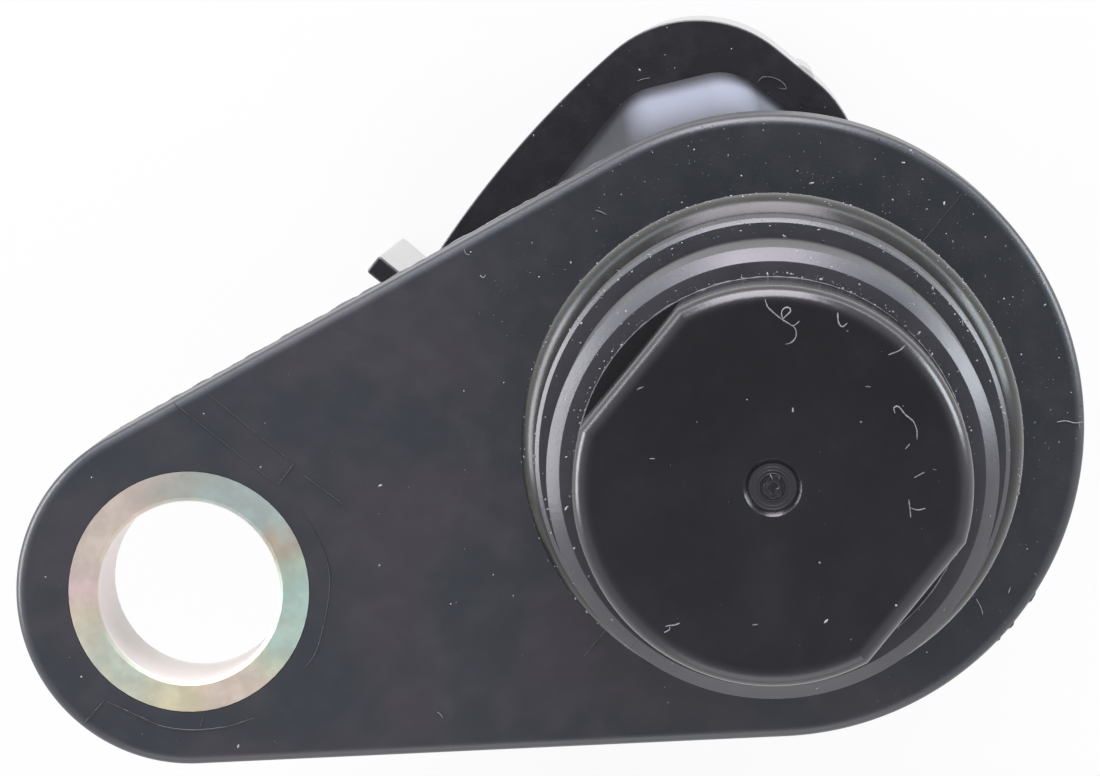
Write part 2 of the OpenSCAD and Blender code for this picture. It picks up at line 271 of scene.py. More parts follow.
class Tree:
    """Short ways to add nodes to a tree and to join them."""

    def __init__(self, tree: bpy.types.NodeTree) -> None:
        """Keep the tree that is worked on."""
        self.tree = tree

    def node(self, kind: str, values: dict[Any, Any] | None = None, **settings: Any) -> bpy.types.Node:
        """Add a node.

        Args:
            kind: Blender's name of the node type.
            values: Inputs by name or number; a socket is linked, anything else is set.
            settings: Properties of the node.

        Returns:
            The new node.
        """
        made = self.tree.nodes.new(kind)
        for key, value in settings.items():
            setattr(made, key, value)
        for key, value in (values or {}).items():
            if isinstance(value, bpy.types.NodeSocket):
                self.tree.links.new(value, made.inputs[key])
            else:
                made.inputs[key].default_value = value
        return made

    def math(self, operation: str, *values: Any) -> bpy.types.NodeSocket:
        """Add a Math node and give its result."""
        return self.node("ShaderNodeMath", dict(enumerate(values)), operation=operation).outputs[0]

    def span(self, value: Any, low: Any, high: Any, first: float, last: float) -> bpy.types.NodeSocket:
        """Map a value smoothly from one span to another."""
        inputs = {"Value": value, "From Min": low, "From Max": high, "To Min": first, "To Max": last}
        return self.node("ShaderNodeMapRange", inputs, interpolation_type="SMOOTHSTEP").outputs[0]

    def mix(self, share: Any, first: Any, second: Any) -> bpy.types.NodeSocket:
        """Mix two colours by a share."""
        return self.node("ShaderNodeMix", {0: share, 6: first, 7: second}, data_type="RGBA").outputs[2]

    def noise(self, place: Any, scale: Any, detail: float, rough: float = 0.5) -> bpy.types.NodeSocket:
        """Add a noise pattern and give its value."""
        inputs = {"Vector": place, "Scale": scale, "Detail": detail, "Roughness": rough}
        return self.node("ShaderNodeTexNoise", inputs).outputs[0]

    def ramp(self, value: Any, stops: Sequence[tuple[float, Colour]]) -> bpy.types.NodeSocket:
        """Map a value to colours by a few stops.

        Args:
            value: Value from 0 to 1.
            stops: Places with their colours, in order.

        Returns:
            The colour.
        """
        made = self.node("ShaderNodeValToRGB", {0: value})
        band = made.color_ramp.elements
        while len(band) < len(stops):
            band.new(1.0)
        for element, (place, colour) in zip(band, stops):
            element.position = place
            element.color = colour
        return made.outputs[0]

    def group(self, kind: bpy.types.NodeTree, values: dict[str, Any]) -> bpy.types.Node:
        """Place a shared effect with its own values."""
        return self.node("ShaderNodeGroup", values, node_tree=kind)

    def normal_part(self, axis: str) -> bpy.types.NodeSocket:
        """Give one part of the surface's normal."""
        normal = self.node("ShaderNodeNewGeometry").outputs["Normal"]
        return self.node("ShaderNodeSeparateXYZ", {0: normal}).outputs[axis]

    def bump(self, height: Any, strength: float, distance: float) -> bpy.types.NodeSocket:
        """Turn a height pattern into a normal."""
        inputs = {"Strength": strength, "Distance": distance, "Height": height}
        return self.node("ShaderNodeBump", inputs).outputs[0]

    def vector(self, operation: str, *values: Any) -> bpy.types.Node:
        """Add a Vector Math node."""
        return self.node("ShaderNodeVectorMath", dict(enumerate(values)), operation=operation)


class Effects:
    """Shader groups that several finishes share."""

    def __init__(self) -> None:
        """Build each group once."""
        self.grain = self._grain()
        self.film = self._film()
        self.scuffs = self._scuffs()
        self.fade = self._fade()

    @staticmethod
    def _start(name: str, numbers: dict[str, float], results: Sequence[str]) -> tuple[Tree, Any, Any]:
        """Make an empty group with a Vector input.

        Args:
            name: Name of the group.
            numbers: Further inputs with their usual values.
            results: Names of its outputs.

        Returns:
            The tree, its input node and its output node.
        """
        group = bpy.data.node_groups.new(name, "ShaderNodeTree")
        group.interface.new_socket(name="Vector", in_out="INPUT", socket_type="NodeSocketVector")
        for key, value in numbers.items():
            made = group.interface.new_socket(name=key, in_out="INPUT", socket_type="NodeSocketFloat")
            made.default_value = value
        for key in results:
            group.interface.new_socket(name=key, in_out="OUTPUT", socket_type="NodeSocketFloat")
        tree = Tree(group)
        return tree, tree.node("NodeGroupInput"), tree.node("NodeGroupOutput")

    def _grain(self) -> bpy.types.NodeTree:
        """Fine moulded grain and wide, soft blotches.

        Returns:
            The group of the grain.
        """
        tree, given, made = self._start(
            "moulded_grain", {"Grain Scale": 6000.0, "Blotch Scale": 300.0}, ("Height", "Blotch"))
        fine = tree.noise(given.outputs["Vector"], given.outputs["Grain Scale"], 4.0, 0.6)
        wide = tree.noise(given.outputs["Vector"], given.outputs["Blotch Scale"], 3.0, 0.55)
        tree.tree.links.new(fine, made.inputs["Height"])
        tree.tree.links.new(wide, made.inputs["Blotch"])
        return tree.tree

    def _film(self) -> bpy.types.NodeTree:
        """Thin dust film that lies on faces that look up the probe.

        Returns:
            The group of the film.
        """
        tree, given, made = self._start("dust_film", {"Scale": 900.0, "Cover": 0.5}, ("Mask",))
        upward = tree.span(tree.normal_part("Z"), 0.15, 0.9, 0.0, 1.0)
        cloud = tree.noise(given.outputs["Vector"], given.outputs["Scale"], 6.0, 0.7)
        floor = tree.math("SUBTRACT", 1.0, given.outputs["Cover"])
        patch = tree.math("MULTIPLY", tree.math("MAXIMUM", tree.math("SUBTRACT", cloud, floor), 0.0), 2.0)
        tree.tree.links.new(tree.math("MULTIPLY", patch, upward), made.inputs["Mask"])
        return tree.tree

    def _scuffs(self) -> bpy.types.NodeTree:
        """Short fine rub marks in one direction.

        Returns:
            The group of the rub marks.
        """
        tree, given, made = self._start("rub_marks", {"Scale": 700.0, "Stretch": 12.0}, ("Mask",))
        split = tree.node("ShaderNodeSeparateXYZ", {0: given.outputs["Vector"]})
        along = tree.math("DIVIDE", split.outputs["X"], given.outputs["Stretch"])
        drawn = tree.node("ShaderNodeCombineXYZ", {0: along, 1: split.outputs["Y"], 2: split.outputs["Z"]})
        streak = tree.noise(drawn.outputs[0], given.outputs["Scale"], 5.0, 0.65)
        tree.tree.links.new(tree.span(streak, 0.6, 0.75, 0.0, 1.0), made.inputs["Mask"])
        return tree.tree

    def _fade(self) -> bpy.types.NodeTree:
        """Soft step from 0 to 1 along a direction in the flange's plane.

        Returns:
            The group of the step.
        """
        tree, given, made = self._start(
            "soft_step", {"Along X": 1.0, "Along Y": 0.0, "Low": -0.005, "High": 0.005}, ("Share",))
        split = tree.node("ShaderNodeSeparateXYZ", {0: given.outputs["Vector"]})
        part = tree.math("MULTIPLY", split.outputs["X"], given.outputs["Along X"])
        reach = tree.math("MULTIPLY_ADD", split.outputs["Y"], given.outputs["Along Y"], part)
        share = tree.span(reach, given.outputs["Low"], given.outputs["High"], 0.0, 1.0)
        tree.tree.links.new(share, made.inputs["Share"])
        return tree.tree


class Finish:
    """What all finishes share: a new material with its shader and object coordinates."""

    @staticmethod
    def start(name: str, constants: dict[str, Any]) -> tuple[bpy.types.Material, Tree, Any, Any]:
        """Make a material with an empty Principled shader.

        Args:
            name: Name of the material.
            constants: Inputs of the shader that are the same all over.

        Returns:
            The material, its tree, the shader and the object coordinates.
        """
        material = bpy.data.materials.new(name)
        material.use_nodes = True
        material.node_tree.nodes.clear()
        tree = Tree(material.node_tree)
        shader = tree.node("ShaderNodeBsdfPrincipled", constants)
        tree.node("ShaderNodeOutputMaterial", {"Surface": shader.outputs[0]})
        place = tree.node("ShaderNodeTexCoord").outputs["Object"]
        return material, tree, shader, place

    @staticmethod
    def join(tree: Tree, shader: Any, values: dict[str, Any]) -> None:
        """Link patterns to the shader's inputs."""
        for key, value in values.items():
            tree.tree.links.new(value, shader.inputs[key])


@dataclass(frozen=True)
class MouldedPlastic(Finish):
    """Moulded plastic with fine grain, soft blotches, a film of dust and, if given, a painted shade towards
    the image's top.
    """

    name: str
    dark: Colour
    pale: Colour
    smooth: float
    rough: float
    dust: Colour = (0.4, 0.4, 0.4, 1)
    grain_depth: float = 0.00001
    dust_cover: float = 0.2
    dust_share: float = 0.02
    specular: float = 0.5
    painted_shade: Colour | None = None

    def material(self, effects: Effects) -> bpy.types.Material:
        """Build the material.

        Args:
            effects: Shared shader groups.

        Returns:
            The new material.
        """
        made, tree, shader, place = self.start(self.name, {"IOR": 1.5, "Specular IOR Level": self.specular})
        grain = tree.group(effects.grain, {"Vector": place})
        film = tree.group(effects.film, {"Vector": place, "Cover": self.dust_cover})
        tone = tree.span(grain.outputs["Blotch"], 0.3, 0.7, 0.0, 1.0)
        base = tree.mix(tone, self.dark, self.pale)
        # Painted shade: the colour darkens towards the image's top
        if self.painted_shade is not None:
            along = {"Along X": IMAGE_UP[0], "Along Y": IMAGE_UP[1]}
            upper = tree.group(effects.fade, {"Vector": place, **along})
            base = tree.mix(upper.outputs["Share"], base, self.painted_shade)
        dusty = tree.mix(tree.math("MULTIPLY", film.outputs["Mask"], self.dust_share), base, self.dust)
        sheen = tree.span(grain.outputs["Blotch"], 0.25, 0.75, self.smooth, self.rough)
        dulled = tree.math("ADD", sheen, tree.math("MULTIPLY", film.outputs["Mask"], 0.1))
        bump = tree.bump(grain.outputs["Height"], 0.5, self.grain_depth)
        self.join(tree, shader, {"Base Color": dusty, "Roughness": dulled, "Normal": bump})
        return made


@dataclass(frozen=True)
class HousingPlastic(Finish):
    """The housing's black plastic: greyer on faces that look up the probe and where dust lies, with a
    painted shade across the flange's face and a painted sheen on the neck; heights in metres.
    """

    name: str
    deep: tuple[Colour, Colour]
    barrel: tuple[Colour, Colour]
    face: tuple[Colour, Colour]
    # Colour of the painted shade that darkens the flange's face towards +X
    far: Colour
    # Pale colour of the painted sheen on the neck
    painted_sheen: Colour
    dust: Colour
    smooth: float = 0.30
    rough: float = 0.40
    grain_depth: float = 0.000012
    barrel_foot: Point = (0.0005, 0.0007)
    flange_back: Point = (-0.0066, -0.0064)
    neck_foot: Point = (-0.0160, -0.0148)
    # Span along X of the painted shade on the flange's face
    painted_shade_span: Point = (-0.007, 0.006)
    painted_sheen_turn: Point = (0.58, 0.93)
    painted_sheen_fall: Point = (-0.0150, -0.0116)
    painted_sheen_range: Point = (0.06, 1.0)
    neck_dulling: float = 0.26

    def _upward_tone_and_shade(self, tree: Tree, effects: Effects, place: Any, height: Any,
              tone: Any) -> bpy.types.NodeSocket:
        """Mix the greyer colours of the faces that look up the probe, with a painted shade that darkens the
        flange's face towards +X.

        Args:
            tree: The material's tree.
            effects: Shared shader groups.
            place: Object coordinates.
            height: Height along the probe.
            tone: Pattern of soft blotches from 0 to 1.

        Returns:
            The colour of the flange's face, with its painted shade, and of the barrel's ledges.
        """
        on_barrel = tree.span(height, *self.barrel_foot, 0.0, 1.0)
        low, high = self.painted_shade_span
        # Painted shade: the flange's face darkens towards +X, the image's upper right
        shade = tree.group(effects.fade, {"Vector": place, "Low": low, "High": high}).outputs["Share"]
        face = tree.mix(shade, tree.mix(tone, *self.face), self.far)
        return tree.mix(on_barrel, face, tree.mix(tone, *self.barrel))

    def _painted_sheen_share(self, tree: Tree, height: Any) -> bpy.types.NodeSocket:
        """Share of the neck's painted sheen: most on faces towards the image's top and near the socket's
        back wall, fading towards the flange as a painted shade.

        Args:
            tree: The material's tree.
            height: Height along the probe.

        Returns:
            The share from 0 to 1.
        """
        # Painted sheen: strongest on faces towards the image's top, with a painted shade towards the flange
        normal = tree.node("ShaderNodeNewGeometry").outputs["Normal"]
        towards = tree.vector("DOT_PRODUCT", normal, IMAGE_UP).outputs["Value"]
        turned = tree.span(towards, *self.painted_sheen_turn, *self.painted_sheen_range)
        return tree.math("MULTIPLY", turned, tree.span(height, *self.painted_sheen_fall, 1.0, 0.1))

    def material(self, effects: Effects) -> bpy.types.Material:
        """Build the material.

        Args:
            effects: Shared shader groups.

        Returns:
            The new material.
        """
        made, tree, shader, place = self.start(self.name, {
            "IOR": 1.5, "Specular IOR Level": 1.0, "Coat IOR": 1.5, "Coat Roughness": 0.1})
        grain = tree.group(effects.grain, {"Vector": place, "Blotch Scale": 220.0})
        film = tree.group(effects.film, {"Vector": place, "Cover": 0.55})
        height = tree.node("ShaderNodeSeparateXYZ", {0: place}).outputs["Z"]
        upward = tree.normal_part("Z")
        tone = tree.span(grain.outputs["Blotch"], 0.42, 0.58, 0.0, 1.0)
        behind = tree.span(height, *self.flange_back, 1.0, 0.0)
        in_front = tree.math("SUBTRACT", 1.0, behind)
        top = tree.math("MULTIPLY", tree.span(upward, 0.2, 0.75, 0.0, 1.0), in_front)
        base = tree.mix(top, tree.mix(tone, *self.deep), self._upward_tone_and_shade(tree, effects, place, height, tone))
        on_neck = tree.math("MULTIPLY", tree.span(height, *self.neck_foot, 0.0, 1.0), behind)
        # Painted sheen mixed into the neck's colour
        sheen_painted = tree.mix(tree.math("MULTIPLY", on_neck, self._painted_sheen_share(tree, height)), base, self.painted_sheen)
        dusty = tree.mix(tree.math("MULTIPLY", film.outputs["Mask"], 0.05), sheen_painted, self.dust)
        sheen = tree.span(grain.outputs["Blotch"], 0.25, 0.75, self.smooth, self.rough)
        filmed = tree.math("ADD", sheen, tree.math("MULTIPLY", film.outputs["Mask"], 0.06))
        dulled = tree.math("MULTIPLY_ADD", on_neck, self.neck_dulling, filmed)
        bump = tree.bump(grain.outputs["Height"], 0.5, self.grain_depth)
        sideways = tree.math("MULTIPLY", tree.span(upward, 0.6, 0.9, 1.0, 0.0), behind)
        gloss = tree.math("MULTIPLY", sideways, tree.math("SUBTRACT", 1.0, on_neck))
        self.join(tree, shader, {"Base Color": dusty, "Roughness": dulled, "Coat Weight": gloss,
                                 "Normal": bump})
        return made


@dataclass(frozen=True)
class SealRubber(Finish):
    """Black rubber with a faint olive cast and a skin of fine pits."""

    name: str
    dark: Colour
    pale: Colour
    dust: Colour = (0.3, 0.3, 0.3, 1)

    def material(self, effects: Effects) -> bpy.types.Material:
        """Build the material.

        Args:
            effects: Shared shader groups.

        Returns:
            The new material.
        """
        made, tree, shader, place = self.start(self.name, {"IOR": 1.5, "Specular IOR Level": 0.6})
        grain = tree.group(effects.grain, {"Vector": place, "Grain Scale": 9000.0, "Blotch Scale": 500.0})
        film = tree.group(effects.film, {"Vector": place, "Cover": 0.45})
        tone = tree.mix(grain.outputs["Blotch"], self.dark, self.pale)
        dusty = tree.mix(tree.math("MULTIPLY", film.outputs["Mask"], 0.15), tone, self.dust)
        sheen = tree.span(grain.outputs["Blotch"], 0.3, 0.7, 0.2, 0.28)
        bump = tree.bump(grain.outputs["Height"], 0.3, 0.000008)
        self.join(tree, shader, {"Base Color": dusty, "Roughness": sheen, "Normal": bump})
        return made


@dataclass(frozen=True)
class RainbowZinc(Finish):
    """Yellow zinc plate whose tint turns round the bush, with fine turning marks and a painted reflection
    that whitens the bore's wall.
    """

    name: str
    middle: tuple[float, float, float]
    turn: float
    tints: Sequence[tuple[float, Colour]]
    bore: Point = (0.00331, 0.00335)
    stain: Colour = (0.36, 0.36, 0.30, 1)
    scratch: Colour = (0.66, 0.66, 0.62, 1)
    bore_painted_reflection: Colour = (1.0, 0.95, 0.92, 1)

    def material(self, effects: Effects) -> bpy.types.Material:
        """Build the material.

        Args:
            effects: Shared shader groups.

        Returns:
            The new material.
        """
        made, tree, shader, place = self.start(self.name, {"Metallic": 0.55, "IOR": 1.5})
        centred = tree.vector("SUBTRACT", place, self.middle).outputs[0]
        turned = tree.node("ShaderNodeVectorRotate", {"Vector": centred, "Angle": self.turn},
                           rotation_type="Z_AXIS").outputs[0]
        warp = tree.noise(centred, 260.0, 3.0, 0.6)
        round_it = tree.node("ShaderNodeTexGradient", {0: turned}, gradient_type="RADIAL").outputs["Fac"]
        shifted = tree.math("FRACT", tree.math("ADD", round_it, tree.span(warp, 0.2, 0.8, -0.07, 0.07)))
        tint = tree.ramp(shifted, self.tints)
        grain = tree.group(effects.grain, {"Vector": centred, "Grain Scale": 5000.0, "Blotch Scale": 900.0})
        marks = tree.group(effects.scuffs, {"Vector": turned, "Scale": 2500.0, "Stretch": 9.0})
        clouds = tree.span(grain.outputs["Blotch"], 0.35, 0.65, 0.0, 0.28)
        clouded = tree.mix(clouds, tint, self.stain)
        cut = tree.mix(tree.math("MULTIPLY", marks.outputs["Mask"], 0.35), clouded, self.scratch)
        flat = tree.vector("MULTIPLY", centred, (1.0, 1.0, 0.0)).outputs[0]
        reach = tree.vector("LENGTH", flat).outputs["Value"]
        # Painted reflection: the bore's wall is whitened, standing in for the white floor seen in it
        with_painted_reflection = tree.mix(tree.span(reach, *self.bore, 0.85, 0.0), cut, self.bore_painted_reflection)
        sheen = tree.span(grain.outputs["Height"], 0.3, 0.7, 0.42, 0.55)
        bump = tree.bump(marks.outputs["Mask"], 0.4, 0.00001)
        self.join(tree, shader, {"Base Color": with_painted_reflection, "Roughness": sheen, "Normal": bump})
        return made


@dataclass(frozen=True)
class BrightMetal(Finish):
    """Plated or stamped metal with fine draw marks and faint tarnish."""

    name: str
    bright: Colour
    tarnish: Colour
    smooth: float
    rough: float

    def material(self, effects: Effects) -> bpy.types.Material:
        """Build the material.

        Args:
            effects: Shared shader groups.

        Returns:
            The new material.
        """
        made, tree, shader, place = self.start(self.name, {"Metallic": 1.0, "IOR": 1.5})
        grain = tree.group(effects.grain, {"Vector": place, "Grain Scale": 8000.0, "Blotch Scale": 600.0})
        marks = tree.group(effects.scuffs, {"Vector": place, "Scale": 4000.0, "Stretch": 14.0})
        stained = tree.mix(tree.span(grain.outputs["Blotch"], 0.4, 0.7, 0.0, 0.7), self.bright, self.tarnish)
        sheen = tree.span(marks.outputs["Mask"], 0.0, 1.0, self.smooth, self.rough)
        bump = tree.bump(marks.outputs["Mask"], 0.25, 0.000008)
        self.join(tree, shader, {"Base Color": stained, "Roughness": sheen, "Normal": bump})
        return made


@dataclass(frozen=True)
class Lint(Finish):
    """Pale dust and fibres, each grain with a tone of its own."""

    name: str
    dull: Colour
    white: Colour

    def material(self) -> bpy.types.Material:
        """Build the material, which reads the tone that each grain carries.

        Returns:
            The new material.
        """
        made, tree, shader, place = self.start(self.name, {"Roughness": 0.9, "Specular IOR Level": 0.2})
        tone = tree.node("ShaderNodeAttribute", attribute_name="tone").outputs["Fac"]
        uneven = tree.span(tree.noise(place, 12000.0, 2.0, 0.5), 0.3, 0.7, -0.15, 0.15)
        base = tree.mix(tree.math("ADD", tone, uneven), self.dull, self.white)
        self.join(tree, shader, {"Base Color": base})
        return made


@dataclass(frozen=True)
class PhotoCamera:
    """The photograph's camera in the part's frame: millimetres, and pixels of its 1100 by 776 image."""

    eye: tuple[float, float, float] = (13.156, 11.076, 244.603)
    forward: tuple[float, float, float] = (-0.06991, -0.01604, -0.99742)
    up: tuple[float, float, float] = (0.77376, 0.63020, -0.06437)
    right: tuple[float, float, float] = (0.62960, -0.77627, -0.03164)
    focal: float = 6746.15
    width: int = 1100
    height: int = 776
    sensor: float = 36.0

    def build(self) -> None:
        """Make the scene's camera."""
        data = bpy.data.cameras.new("photo_camera")
        data.sensor_fit = "HORIZONTAL"
        data.sensor_width = self.sensor
        data.lens = self.focal/self.width*self.sensor
        data.clip_start = 0.01
        data.clip_end = 20.0
        camera = bpy.data.objects.new("photo_camera", data)
        bpy.context.scene.collection.objects.link(camera)
        turn = Matrix((self.right, self.up, [-x for x in self.forward])).transposed().to_4x4()
        camera.matrix_world = Matrix.Translation(Vector(self.eye)*MM) @ turn
        bpy.context.scene.camera = camera

    def on_level(self, pixel: Point, z: float) -> Vector:
        """Find the point of a level plane that a pixel shows.

        Args:
            pixel: Place in the photograph.
            z: Height of the plane in millimetres.

        Returns:
            The point in millimetres.
        """
        across = (pixel[0] - self.width/2)/self.focal
        down = (pixel[1] - self.height/2)/self.focal
        ray = Vector(self.forward) + Vector(self.right)*across - Vector(self.up)*down
        eye = Vector(self.eye)
        return eye + ray*((z - eye.z)/ray.z)

    def direction(self, right: float, up: float, back: float) -> Vector:
        """Turn a direction seen in the image into one in the part's frame."""
        mixed = Vector(self.right)*right + Vector(self.up)*up - Vector(self.forward)*back
        return mixed.normalized()


@dataclass(frozen=True)
class SoftBox:
    """A soft lamp, placed by the image's right, up and towards the camera; metres."""

    name: str
    towards: tuple[float, float, float]
    distance: float
    size: tuple[float, float]
    radiance: float
    colour: tuple[float, float, float]

    def build(self, camera: PhotoCamera) -> None:
        """Make the lamp, aimed at the probe.

        Args:
            camera: Camera whose image gives the directions.
        """
        data = bpy.data.lights.new(self.name, "AREA")
        data.shape = "RECTANGLE"
        data.color = self.colour
        data.size = self.size[0]
        data.size_y = self.size[1]
        data.energy = self.radiance*math.pi*self.size[0]*self.size[1]
        lamp = bpy.data.objects.new(self.name, data)
        lamp.visible_camera = False
        bpy.context.scene.collection.objects.link(lamp)
        way = camera.direction(*self.towards)
        turn = way.to_track_quat("Z", "Y").to_matrix().to_4x4()
        lamp.matrix_world = Matrix.Translation(way*self.distance) @ turn


@dataclass
class Studio:
    """White floor under the socket's rim, pale surroundings and soft lamps."""

    floor_size: float = 1.5
    floor_gap: float = 0.0001
    floor_white: float = 0.86
    tint: tuple[float, float, float] = (0.98, 0.95, 1.06)
    sky: Sequence[tuple[float, float]] = (
        (0.0, 0.9), (0.5, 0.9), (0.6, 0.8), (0.82, 0.75), (0.905, 0.55), (0.97, 0.36), (1.0, 0.27))
    boxes: Sequence[SoftBox] = (
        SoftBox("key_box", (-0.08, 0.936, 0.342), 0.40, (0.25, 0.36), 6.3, (0.95, 0.90, 1.0)),
        SoftBox("right_box", (0.911, 0.387, 0.139), 0.40, (0.18, 0.24), 7.0, (0.86, 0.94, 1.0)),
        SoftBox("left_box", (-0.98, 0.18, 0.03), 0.30, (0.24, 0.10), 7.4, (0.96, 0.95, 1.0)),
        SoftBox("left_strip", (-0.70, 0.71, 0.03), 0.40, (0.36, 0.09), 2.8, (0.76, 0.87, 1.0)),
        SoftBox("right_strip", (0.56, 0.83, 0.03), 0.40, (0.32, 0.09), 3.8, (0.86, 0.93, 1.0)),
        SoftBox("low_box", (0.0, -0.95, 0.30), 0.40, (0.40, 0.24), 0.8, (1.0, 0.98, 1.0)),
    )

    @staticmethod
    def _seen(tree: Tree) -> bpy.types.NodeSocket:
        """Give 1 for rays that show the background: from the camera, a reflection or glass.

        Args:
            tree: Tree of the floor's material.

        Returns:
            The value, 0 for all other rays.
        """
        path = tree.node("ShaderNodeLightPath")
        seen = tree.math("MAXIMUM", path.outputs["Is Camera Ray"], path.outputs["Is Glossy Ray"])
        return tree.math("MAXIMUM", seen, path.outputs["Is Transmission Ray"])

    def _floor(self) -> None:
        """Make the floor that keeps a soft shadow."""
        half = self.floor_size/2
        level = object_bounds()[0][2] - self.floor_gap
        mesh = bpy.data.meshes.new("floor")
        corners = [(-half, -half, level), (half, -half, level), (half, half, level), (-half, half, level)]
        mesh.from_pydata(corners, [], [(0, 1, 2, 3)])
        floor = new_piece("floor", mesh)
        material = bpy.data.materials.new("white_floor")
        material.use_nodes = True
        material.node_tree.nodes.clear()
        tree = Tree(material.node_tree)
        matte = tree.node("ShaderNodeBsdfDiffuse", {"Color": (0.93, 0.93, 0.93, 1)})
        glow = tree.node("ShaderNodeEmission", {"Strength": 1.0})
        share = tree.math("MULTIPLY", self._seen(tree), self.floor_white)
        both = tree.node("ShaderNodeMixShader", {0: share, 1: matte.outputs[0], 2: glow.outputs[0]})
        tree.node("ShaderNodeOutputMaterial", {"Surface": both.outputs[0]})
        mesh.materials.append(material)
        floor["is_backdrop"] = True

    def _world(self) -> None:
        """Make the surroundings: dim overhead, paler towards the floor, white where the camera sees them."""
        world = bpy.data.worlds.new("studio")
        world.use_nodes = True
        world.node_tree.nodes.clear()
        tree = Tree(world.node_tree)
        way = tree.node("ShaderNodeTexCoord").outputs["Generated"]
        height = tree.node("ShaderNodeSeparateXYZ", {0: way}).outputs["Z"]
        share = tree.math("MULTIPLY_ADD", height, 0.5, 0.5)
        shades = [(place, (*[grey*part for part in self.tint], 1)) for place, grey in self.sky]
        level = tree.ramp(share, shades)
        glow = tree.node("ShaderNodeBackground", {"Color": level, "Strength": 1.0})
        white = tree.node("ShaderNodeBackground", {"Color": (1, 1, 1, 1), "Strength": 1.0})
        seen = tree.node("ShaderNodeLightPath").outputs["Is Camera Ray"]
        both = tree.node("ShaderNodeMixShader", {0: seen, 1: glow.outputs[0], 2: white.outputs[0]})
        tree.node("ShaderNodeOutputWorld", {"Surface": both.outputs[0]})
        bpy.context.scene.world = world

    def build(self, camera: PhotoCamera) -> None:
        """Make floor, surroundings and lamps.

        Args:
            camera: Camera whose image gives the lamps' directions.
        """
        bpy.context.scene.view_settings.view_transform = "Standard"
        self._floor()
        self._world()
        for box in self.boxes:
            box.build(camera)


